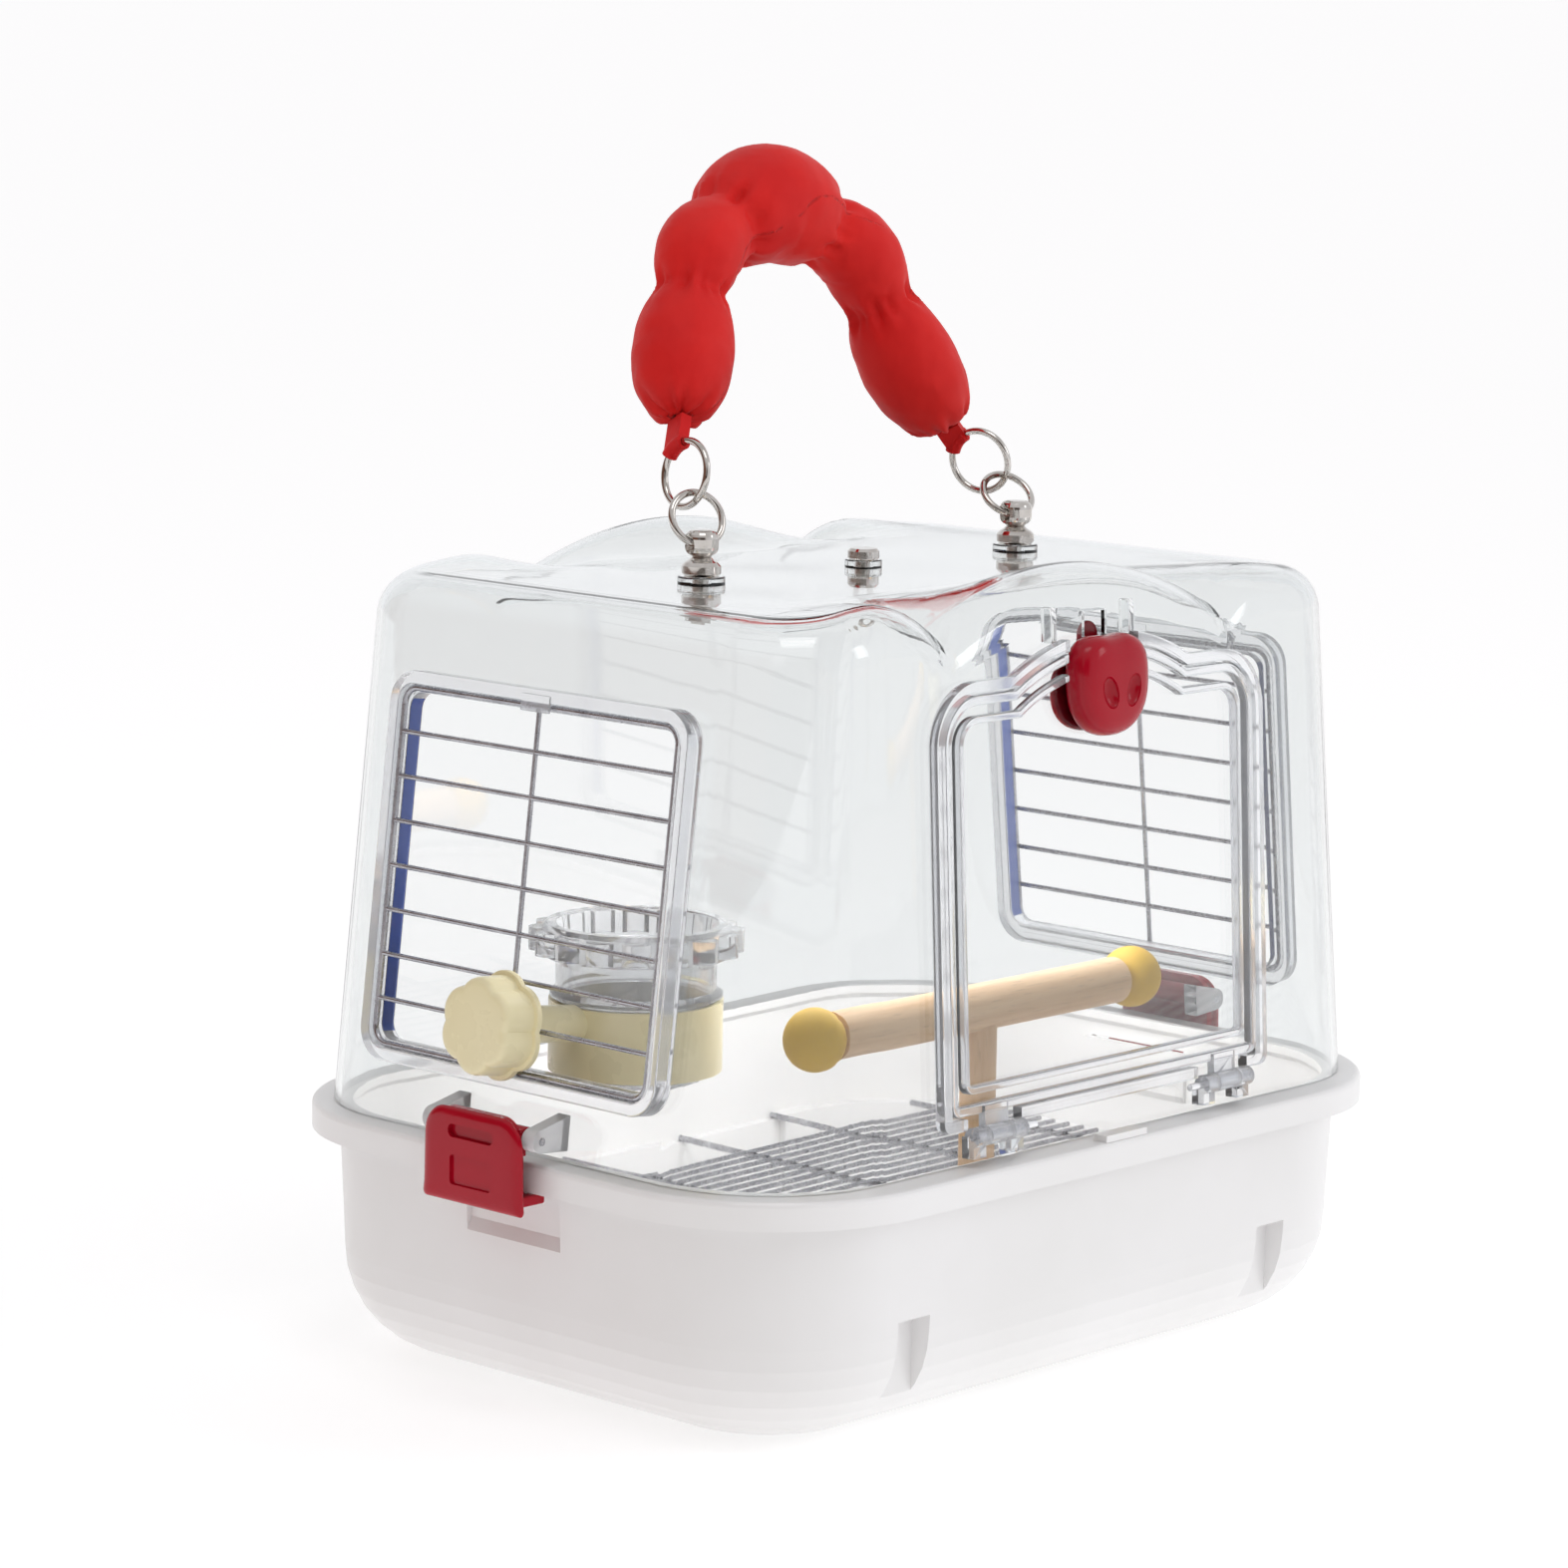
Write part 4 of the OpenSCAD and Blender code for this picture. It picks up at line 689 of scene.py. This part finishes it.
def make_dome():
    shell = dome_walls()
    cut(shell, place(outline_plate(doorway(WAY_RIB_W / 2), -20, 10), FRONT))
    rib = outline_ring(doorway(0), WAY_RIB_W, ROOT - SHELL, WAY_RIB_H)
    round_edges(rib, 0.9, 3)
    cut(rib, block(-LATCH_GAP, LATCH_GAP, 165, 195, 0.01, 10))
    for side in (-1, 1):
        cut(rib, block(side * HINGE_X - HINGE_GAP, side * HINGE_X + HINGE_GAP, 11, 18.5, 0.01, 10))
    fuse(shell, place(rib, FRONT))
    cut(shell, place(block(-NOTCH_HALF, NOTCH_HALF, 155, 184, -20, 30), FRONT))
    for side in (-1, 1):
        keeper = block(side * KEEPER_X - 1.5, side * KEEPER_X + 1.5, 174.3, 186.3, -7, -1.2)
        fuse(shell, place(round_edges(keeper, 0.5, 2), FRONT))
        for s in (-1, 1):
            x = side * HINGE_X + s * KNUCKLE_SIDE
            left, right = x - KNUCKLE_HALF, x + KNUCKLE_HALF
            knuckle = fuse(rod(KNUCKLE_R, 2 * KNUCKLE_HALF, (left, HINGE_V, HINGE_W), (1, 0, 0)),
                           block(left, right, HINGE_V - 7.5, HINGE_V - 0.01, -1, 5.4))
            round_edges(knuckle, 0.4, 2)
            fuse(shell, place(knuckle, FRONT))
        bore = rod(1.22, 40, (side * HINGE_X - 20, HINGE_V, HINGE_W), (1, 0, 0), 32)
        cut(shell, place(bore, FRONT))
    up = Matrix.Translation((0, WINDOW_MID * MM, 0))
    for side in (-1, 1):
        wall = end_plane(side) @ up
        cut(shell, place(outline_plate(rounded_rectangle(*WINDOW_SEAT, 7), -20, 12), wall))
        size = (WINDOW_SEAT[0] + 2 * FLANGE_W, WINDOW_SEAT[1] + 2 * FLANGE_W)
        outer = outline_plate(rounded_rectangle(*size, 11.6, 12), ROOT - SHELL, FLANGE_H)
        cut(outer, outline_plate(rounded_rectangle(*WINDOW_SEAT, 7, 10), FLANGE_H - FLANGE_STEP, 20))
        cut(outer, outline_plate(rounded_rectangle(*WINDOW_OPEN, 6, 10), -20, 20))
        round_edges(outer, 0.7, 3, 50)
        catch = block(-7, 7, 60.5, 66.5, FLANGE_H - FLANGE_STEP + 2.6, FLANGE_H + 0.6)
        fuse(outer, round_edges(catch, 0.5, 2))
        fuse(shell, place(outer, wall))
        for s in (-1, 1):
            ear = outline_plate(arc(0, 0, EAR_R, -90, 90, 16) + [(-13.6, 7.2), (-13.6, -5.2)], -3, 3)
            round_edges(ear, 0.4, 2, 50)
            at_pin = Matrix.Translation(Vector((CLIP_X, s * EAR_Y, CLIP_Z)) * MM)
            fuse(shell, place(ear, facing(side) @ at_pin @ Matrix.Rotation(math.radians(90), 4, "X")))
        cut(shell, rod(1.52, 80, (side * CLIP_X, 40, CLIP_Z), (0, -1, 0), 32))
        collar = rod(COLLAR_R, 4, (side * SWIVEL_X, SWIVEL_Y, ROOF_Z - 1), sides=64)
        fuse(shell, round_edges(collar, 0.7, 3))
    fuse(shell, round_edges(rod(CAP_COLLAR_R, 4, (0, SWIVEL_Y, ROOF_Z - 1), sides=48), 0.6, 3))
    for x in (-SWIVEL_X, 0, SWIVEL_X):
        cut(shell, rod(ROOF_BORE_R, 40, (x, SWIVEL_Y, ROOF_Z - 20), sides=40))
    smooth(shell, 32)
    finish_piece(shell, "dome_shell", "carrier", CLEAR, ["dome"])
    paint_ribs(shell)
    return shell


def paint_ribs(obj):
    """Gives ribs and frames and the clips' ears a finish of their own, and paints deep blue on the frames'
    inner edge faces that face one way, as painted shade for the dark edge-on look of clear plastic.
    """
    for material in (RIB, EDGE_SHADE, EAR):
        obj.data.materials.append(material)
    to_front = FRONT.inverted()
    up = Matrix.Translation((0, WINDOW_MID * MM, 0))
    to_end = {side: (end_plane(side) @ up).inverted() for side in (-1, 1)}
    for face in obj.data.polygons:
        p = to_front @ face.center
        if abs(p.x) < 0.093 and 0.004 < p.y < 0.187 and 0.0003 < p.z < 0.012:
            face.material_index = 1
        for side in (-1, 1):
            p = to_end[side] @ face.center
            if abs(p.x) > 0.076 or abs(p.y) > 0.073 or not 0.0003 < p.z < 0.012:
                continue
            face.material_index = 1
            n = to_end[side].to_3x3() @ face.normal
            inner = abs(p.x) < 0.0685 and abs(p.y) < 0.0645
            # Inner edge faces that face one way (both ways on the right window) get the deep blue painted
            # shade.
            if inner and (n.x > 0.8 or side > 0 and n.x < -0.8) and p.z < 0.0046:
                face.material_index = 2
        if abs(face.center.x) > 0.1725 and abs(face.center.y) < 0.03:
            face.material_index = 3


def make_door():
    door = outline_plate(doorway(DOOR_INSET), -SHELL, 0)
    round_edges(door, 0.3, 2)
    for inset, width in ((DOOR_INSET, 3.4), (DOOR_INSET + 7, 2.6)):
        rib = outline_ring(doorway(inset + 0.02), width, -1, 3.4)
        round_edges(rib, 0.8, 3)
        cut(rib, block(-LATCH_GAP, LATCH_GAP, 145, 195, 0.01, 10))
        fuse(door, rib)
    for side in (-1, 1):
        x = side * HINGE_X
        arm = fuse(rod(KNUCKLE_R, 2 * ARM_HALF, (x - ARM_HALF, HINGE_V, HINGE_W), (1, 0, 0)),
                   block(x - ARM_HALF, x + ARM_HALF, HINGE_V + 0.01, HINGE_V + 10, 1.8, HINGE_W))
        low = WAY_V + DOOR_INSET
        fuse(arm, block(x - ARM_HALF, x + ARM_HALF, low, HINGE_V + 10, -0.01, HINGE_W - 0.02))
        round_edges(arm, 0.4, 2)
        fuse(door, arm)
        cut(door, rod(1.28, 40, (x - 20, HINGE_V, HINGE_W), (1, 0, 0), 32))
    cut(door, block(-6.4, 6.4, 143.1, 161.4, -10, 10))
    finish_piece(smooth(place(door, FRONT), 32), "door_panel", "door", CLEAR, ["door"])
    paint_ribs(door)
    return door


make_dome()
make_door()


# Padded handle


def path_point(u):
    """Point on the handle's middle line, in metres."""
    n = len(GRIP_PATH) - 1
    k = min(int(u), n - 1)
    t = u - k
    b, c = Vector(GRIP_PATH[k]), Vector(GRIP_PATH[k + 1])
    a = Vector(GRIP_PATH[k - 1]) if k > 0 else 2 * b - c
    d = Vector(GRIP_PATH[k + 2]) if k < n - 1 else 2 * c - b
    p = 0.5 * (2 * b + (c - a) * t + (2 * a - 5 * b + 4 * c - d) * t * t + (3 * b - a - 3 * c + d) * t ** 3)
    return p * MM


def path_way(u):
    n = len(GRIP_PATH) - 1
    return (path_point(min(n, u + 0.5)) - path_point(max(0, u - 0.5))).normalized()


def grip_radius(u):
    k = min(int(u), len(GRIP_R) - 2)
    t = u - k
    a, b = GRIP_R[k], GRIP_R[k + 1]
    if a < b:
        return a + (b - a) * math.sin(math.pi / 2 * t) ** FULLNESS
    return b + (a - b) * math.cos(math.pi / 2 * t) ** FULLNESS


def cross_axes(u):
    way = path_way(u)
    side = Vector((0, 1, 0)).cross(way).normalized()
    return side, way.cross(side)


def make_handle():
    turns = [2 * math.pi * i / GRIP_SIDES for i in range(GRIP_SIDES)]
    loops = []
    for j in range(GRIP_STEPS + 1):
        u = (len(GRIP_PATH) - 1) * j / GRIP_STEPS
        p = path_point(u)
        side, up = cross_axes(u)
        r = grip_radius(u) * GRIP_SHARE * MM
        loops.append([p + r * (math.cos(a) * side + math.sin(a) * up) for a in turns])
    grip = lofted(loops)
    apply_modifier(grip, "REMESH", mode="VOXEL", voxel_size=0.0022, adaptivity=0.0)
    inflate(grip)
    apply_modifier(grip, "SUBSURF", levels=1, render_levels=1)
    shape_cloth(grip)
    only(grip)
    bpy.ops.object.shade_smooth()
    finish_piece(grip, "padded_handle", "handle", CLOTH, ["padded_grip"])
    return grip


def path_samples():
    return [(u / 20, path_point(u / 20)) for u in range(0, 20 * (len(GRIP_PATH) - 1) + 1)]


def nearest_on_path(co, samples):
    return min(samples, key=lambda sample: (sample[1] - co).length_squared)


def inflate(grip):
    """Blows the cloth up a little between its gathered necks."""
    rest = [v.co.copy() for v in grip.data.vertices]
    samples = path_samples()
    pins = grip.vertex_groups.new(name="necks")
    for v in grip.data.vertices:
        u = nearest_on_path(v.co, samples)[0]
        gap = min(abs(u - k) for k in NECKS)
        pins.add([v.index], max(0.0, 1 - gap / 0.35), "REPLACE")
    mod = grip.modifiers.new("Cloth", "CLOTH")
    cloth = mod.settings
    cloth.quality = 6
    cloth.mass = 0.15
    cloth.tension_stiffness = 12
    cloth.compression_stiffness = 12
    cloth.shear_stiffness = 6
    cloth.bending_stiffness = 0.15
    cloth.use_pressure = True
    cloth.uniform_pressure_force = 4
    cloth.effector_weights.gravity = 0
    cloth.vertex_group_mass = "necks"
    cloth.pin_stiffness = 1
    mod.collision_settings.use_collision = False
    mod.collision_settings.use_self_collision = False
    scene = bpy.context.scene
    for f in range(1, 21):
        scene.frame_set(f)
    shaped = grip.evaluated_get(bpy.context.evaluated_depsgraph_get())
    moved = [v.co.copy() for v in shaped.data.vertices]
    grip.modifiers.remove(mod)
    scene.frame_set(1)
    for v, a, b in zip(grip.data.vertices, rest, moved):
        step = b - a
        if step.length > LARGEST_STEP:
            step = step.normalized() * LARGEST_STEP
        v.co = a + step


def shape_cloth(grip):
    """Gathers at the necks, slow dents between them, and the distance to the two long seams."""
    samples = path_samples()
    gap_store = grip.data.attributes.new("seam_gap", "FLOAT", "POINT")
    grip.data.update()
    normals = [v.normal.copy() for v in grip.data.vertices]
    moves = []
    gaps = []
    for v, normal in zip(grip.data.vertices, normals):
        u, p = nearest_on_path(v.co, samples)
        side, up = cross_axes(u)
        out = v.co - p
        turn = math.atan2(out.dot(up), out.dot(side))
        r = out.length
        to_neck = min((abs(u - k) * 24.0, k) for k in NECKS)
        near = math.exp(-(to_neck[0] / 5.5) ** 2)
        k = to_neck[1]
        pleat = math.sin(9 * turn + 2.1 * k) + 0.6 * math.sin(14 * turn + 5 * k)
        fold = noise.noise(Vector((math.cos(turn) * 2.2, math.sin(turn) * 2.2, u * 3.1)))
        dent = noise.noise(v.co * 60 + Vector((3, 7, 1))) * 0.5 + noise.noise(v.co * 140) * 0.25
        crease = min(0.0, noise.noise(Vector((turn * 2.6, u * 1.7, 4.0))) + 0.15) * 2.2
        moves.append(normal * (pleat * 0.8 * near + fold * 0.5 + dent * 0.5 + crease * 1.3 * near) * MM)
        way = path_way(u)
        seam = (SEAM_SIDE - SEAM_SIDE.dot(way) * way).normalized()
        lost = math.acos(max(-1.0, min(1.0, abs(out.normalized().dot(seam)))))
        gaps.append(lost * r / MM)
    for v, move in zip(grip.data.vertices, moves):
        v.co += move
    gap_store.data.foreach_set("value", gaps)


make_handle()


def make_tab(node, name):
    """A flat tape looped round the upper ring and sewn into the handle's end."""
    tape = copy_of(frame["nodes"][node], name)
    tape.parent = None
    for key in list(tape.keys()):
        del tape[key]
    face_outwards(tape)
    round_edges(tape, 0.35, 2, 50)
    smooth(tape, 40)
    return finish_piece(tape, name, "handle", TAB_CLOTH, [node])


make_tab("left_tab", "left_tape_tab")
make_tab("right_tab", "right_tape_tab")


# Latch, end clips and cup knob


def bulged(points, mid, profile):
    """A closed form whose outline shrinks towards its middle as the profile says, as (height, share)."""
    loops = [[Vector((mid[0] + x * share, mid[1] + y * share, height)) * MM for x, y in points]
             for height, share in profile]
    return lofted(loops)


def apple_outline(n=64):
    """Outline of the button: flat and a little dipped on top, widest over its middle and round below."""
    points = []
    for i in range(n):
        a = 2 * math.pi * (i + 0.5) / n
        c, s = math.cos(a), math.sin(a)
        power = 2 / 3.1 if s > 0 else 2 / 2.25
        x = BUTTON_X * math.copysign(abs(c) ** power, c)
        y = (BUTTON_UP if s > 0 else BUTTON_DOWN) * math.copysign(abs(s) ** power, s)
        if s > 0:
            y -= 1.1 * math.exp(-(x / 5.5) ** 2)
        points.append((x, y))
    return points


def make_button():
    button = bulged(apple_outline(), (0, BUTTON_MID), (
        (0.4, 0.9), (1.0, 0.955), (2.2, 0.987), (4.2, 1.0), (6.4, 0.988), (8.4, 0.95), (9.9, 0.885),
        (10.9, 0.8), (11.5, 0.69), (11.85, 0.52), (12.0, 0.3), (12.05, 0.1)))
    for side in (-1, 1):
        clear_choice()
        bpy.ops.mesh.primitive_uv_sphere_add(segments=32, ring_count=20, radius=MM)
        dent = bpy.context.object
        dent.scale = (3.9, 6.0, 3.0)
        dent.rotation_euler = (0, 0, math.radians(-20 * side))
        bpy.ops.object.transform_apply(location=True, rotation=True, scale=True)
        cut(button, place(dent, Matrix.Translation(Vector((side * DENT_X, DENT_V, 12.2)) * MM)))
    smooth(place(button, FRONT), 40)
    return finish_piece(button, "apple_button", "latch", RED, ["latch_button"])


def make_latch_plate():
    points = [(x * 1.1, y * 0.72) for x, y in apple_outline()]
    plate = bulged(points, (0, NECK_V), (
        (-6.2, 0.86), (-5.9, 0.95), (-5.2, 0.99), (-4.4, 1.0), (-3.4, 0.985), (-2.9, 0.94), (-2.8, 0.9)))
    bolt = outline_plate(arc(0, 175.5, 5, 0, 180, 14) + [(-5, NECK_V), (5, NECK_V)], -6.1, -2.85)
    round_edges(bolt, 0.8, 3, 50)
    fuse(plate, bolt)
    fuse(plate, block(-5.9, 5.9, NECK_V - 4.4, NECK_V + 4.4, -3.2, 0.5))
    smooth(place(plate, FRONT), 40)
    return finish_piece(plate, "bolt_plate", "latch", RED_DARK, ["latch_plate"])


# An end's fittings seen from outside: x along the wall, y up, z outwards from the carrier's middle.
FROM_END = Matrix(((0, 0, 1, 0), (1, 0, 0, 0), (0, 1, 0, 0), (0, 0, 0, 1)))


def clip_outline(half, shoulder, flare):
    """Outline of a clip's face: round shoulders, straight sides and a wider foot."""
    side = arc(half + flare - 2.4, CLIP_FOOT + 1.8, 1.8, -90, 0, 5)
    side += [(half + flare - 1.0, 80.4), (half + 0.3, 83)]
    side += arc(half - shoulder, CLIP_TOP - shoulder, shoulder, 0, 90, 12)
    return [(x, z - CLIP_MID) for x, z in side] + [(-x, z - CLIP_MID) for x, z in reversed(side)]


def make_clip(side, node, body):
    """Red clip: a bulged face on a web, a toe under the rim, and a barrel round the pin."""
    face = bulged(clip_outline(CLIP_FACE, 10, 1.4), (0, CLIP_MID), (
        (187.5, 0.97), (187.7, 0.99), (188.2, 1.0), (188.8, 0.985), (189.3, 0.95), (189.7, 0.89),
        (189.9, 0.8), (189.95, 0.6)))
    clip = bulged(clip_outline(CLIP_WEB, 9, 0.4), (0, CLIP_MID),
                  ((184.75, 0.98), (185.0, 1.0), (188.0, 1.0)))
    fuse(clip, face)
    fuse(clip, round_edges(block(-CLIP_TOE, CLIP_TOE, 77.7, 81.4, 174, 187.5), 0.9, 3))
    barrel = rod(4.0, 2 * CLIP_TOE, (-CLIP_TOE, CLIP_Z, CLIP_X), (1, 0, 0), 48)
    fuse(clip, round_edges(barrel, 0.5, 2, 60))
    fuse(clip, round_edges(block(-20.4, 20.4, CLIP_Z - 6, CLIP_Z + 3.5, CLIP_X + 0.5, 186), 0.5, 2))
    cut(clip, rod(PIN_R, 60, (-30, CLIP_Z, CLIP_X), (1, 0, 0), 32))
    slot = [(x, z + CLIP_MID + SLOT_UP) for x, z in rounded_rectangle(22, 4.6, 2.1, 5)]
    cut(clip, outline_plate(slot, 188.2, 194))
    panel = [(x, z + CLIP_MID - PANEL_DOWN) for x, z in rounded_rectangle(20, 10.4, 1.2, 4)]
    cut(clip, outline_plate(panel, 188.9, 194))
    place(clip, facing(side) @ FROM_END)
    smooth(clip, 40)
    return finish_piece(clip, body + "_shell", body, RED, [node])


def make_knob():
    """Thick knob with soft lobes, a thin flange behind them and a boss that meets the wires."""
    turns = [2 * math.pi * i / 96 for i in range(96)]
    sector = 2 * math.pi / KNOB_LOBES
    lobed = []
    for a in turns:
        b = (a % sector) - sector / 2
        lobed.append(KNOB_OFF * math.cos(b) + math.sqrt(LOBE_R ** 2 - (KNOB_OFF * math.sin(b)) ** 2))
    loops = []
    for w, grow, share in ((6.9, -4.2, 0), (7.0, -4, 0), (7.9, -4, 0), (7.92, 0.7, 1), (8.2, 1.0, 1),
                           (9.7, 1.0, 1), (10.1, 0.75, 1), (10.3, -0.6, 1), (11.5, -0.7, 1),
                           (20.4, -1.1, 1), (21.9, -1.5, 1), (22.7, -2.1, 1), (23.0, -2.9, 1),
                           (23.1, -4.2, 1), (23.12, -9, 0.8)):
        radii = [share * r + (1 - share) * KNOB_BOSS_R + grow for r in lobed]
        loops.append([Vector((r * math.cos(a), r * math.sin(a), w)) * MM for r, a in zip(radii, turns)])
    knob = lofted(loops)
    cut(knob, rod(STEM_R + 0.12, 12.7, (0, 0, 5.9), sides=64))
    place(knob, end_plane(-1) @ Matrix.Translation((0, STEM_V * MM, 0)))
    smooth(knob, 40)
    return finish_piece(knob, "lobed_knob", "knob", CREAM, ["cup_knob"])


make_button()
make_latch_plate()
make_clip(-1, "left_clip", "left_clip")
make_clip(1, "right_clip", "right_clip")
make_knob()


# Camera, light and floor

# Height that the camera aims at and its distance in metres, and the photo's width in picture points.
AIM_Z = 0.19756
CAMERA_FAR = 1.8527
PHOTO_SIZE = 1573


def aim_camera():
    """Sees the carrier from where the photo was taken."""
    azimuth, elevation, roll = math.radians(-47.796), math.radians(9.03), math.radians(1.1146)
    back = Vector((math.sin(azimuth) * math.cos(elevation), -math.cos(azimuth) * math.cos(elevation),
                   math.sin(elevation)))
    level = (-back).cross(Vector((0, 0, 1))).normalized()
    up = level.cross(-back)
    right = level * math.cos(roll) + up * math.sin(roll)
    top = -level * math.sin(roll) + up * math.cos(roll)
    eye = Vector((0, 0, AIM_Z)) + back * CAMERA_FAR
    data = bpy.data.cameras.new("photo_camera")
    data.sensor_width = 36
    data.sensor_fit = "HORIZONTAL"
    data.lens = 5112.5 / PHOTO_SIZE * 36
    data.shift_x = -68.94 / PHOTO_SIZE
    data.shift_y = 10.76 / PHOTO_SIZE
    data.clip_start = 0.05
    data.clip_end = 2000
    camera = bpy.data.objects.new("photo_camera", data)
    bpy.context.scene.collection.objects.link(camera)
    turn = Matrix((right, top, back)).transposed().to_4x4()
    camera.matrix_world = Matrix.Translation(eye) @ turn
    bpy.context.scene.camera = camera


def soft_light(name, at, towards, size, power):
    data = bpy.data.lights.new(name, "AREA")
    data.shape = "RECTANGLE"
    data.size, data.size_y = size
    data.energy = power
    lamp = bpy.data.objects.new(name, data)
    bpy.context.scene.collection.objects.link(lamp)
    lamp.location = at
    lamp.rotation_euler = (Vector(towards) - Vector(at)).to_track_quat("-Z", "Y").to_euler()


def sky_part(nodes, links, coords, towards, low, high):
    """How far a direction points towards one side: 0 below the low limit, 1 above the high one."""
    dot = nodes.new("ShaderNodeVectorMath")
    dot.operation = "DOT_PRODUCT"
    dot.inputs[1].default_value = Vector(towards).normalized()
    links.new(coords, dot.inputs[0])
    step = nodes.new("ShaderNodeMapRange")
    step.interpolation_type = "SMOOTHSTEP"
    step.inputs["From Min"].default_value = low
    step.inputs["From Max"].default_value = high
    links.new(dot.outputs["Value"], step.inputs["Value"])
    return step.outputs["Result"]


def blended(nodes, links, share, first, second):
    mix = nodes.new("ShaderNodeMix")
    mix.data_type = "RGBA"
    links.new(share, mix.inputs["Factor"])
    for socket, value in (("A", first), ("B", second)):
        if isinstance(value, tuple):
            mix.inputs[socket].default_value = value
        else:
            links.new(value, mix.inputs[socket])
    return mix.outputs["Result"]


def studio():
    """Endless pale floor, a room that is warmer and darker on the left, three soft lights and two lamps
    in the cabin, which make up for light that the clear shell holds back."""
    clear_choice()
    bpy.ops.mesh.primitive_plane_add(size=2400, location=(0, 0, -0.0004))
    floor = bpy.context.object
    floor.name = "studio_floor"
    mat, nodes, links, shader, co = new_finish("white_sweep")
    shader.inputs["Base Color"].default_value = (0.80, 0.80, 0.80, 1)
    shader.inputs["Roughness"].default_value = 1.0
    shader.inputs["Specular IOR Level"].default_value = 0.0
    shader.inputs["Emission Color"].default_value = (1, 1, 1, 1)
    shader.inputs["Emission Strength"].default_value = 0.42
    floor.data.materials.append(mat)
    world = bpy.data.worlds.new("studio_world")
    bpy.context.scene.world = world
    world.use_nodes = True
    nodes, links = world.node_tree.nodes, world.node_tree.links
    way = nodes.new("ShaderNodeTexCoord").outputs["Generated"]
    sides = blended(nodes, links, sky_part(nodes, links, way, (0.64, -0.77, 0), -0.35, 0.85),
                    (0.20, 0.10, 0.07, 1), (0.86, 0.87, 0.90, 1))
    back = blended(nodes, links, sky_part(nodes, links, way, (0.7, 0.7, 0), 0.3, 0.9), sides,
                   (0.95, 0.96, 0.98, 1))
    room = blended(nodes, links, sky_part(nodes, links, way, (-0.73, -0.66, 0.25), 0.86, 0.95), back,
                   (0.10, 0.08, 0.07, 1))
    above = blended(nodes, links, sky_part(nodes, links, way, (0, 0, 1), 0.3, 0.75), room,
                    (0.74, 0.74, 0.75, 1))
    links.new(above, nodes["Background"].inputs["Color"])
    soft_light("top_softbox", (-0.5, -0.5, 1.8), (0, 0, 0.2), (0.8, 0.6), 3.5)
    soft_light("left_softbox", (-1.9, -0.9, 1.1), (0, 0, 0.2), (0.5, 0.9), 0.6)
    soft_light("right_softbox", (1.2, -1.9, 1.2), (0, 0, 0.2), (0.5, 0.9), 3.8)
    for x in (-0.05, 0.07):
        fill = bpy.data.lights.new("cabin_fill", "POINT")
        fill.shadow_soft_size = 0.06
        fill.energy = 0.8
        lamp = bpy.data.objects.new("cabin_fill", fill)
        bpy.context.scene.collection.objects.link(lamp)
        lamp.location = (x, -0.02, 0.205)
        lamp.visible_camera = lamp.visible_glossy = lamp.visible_transmission = False


aim_camera()
studio()
bpy.context.scene.view_settings.view_transform = "Standard"

for obj in bpy.data.objects:
    obj.select_set(False)
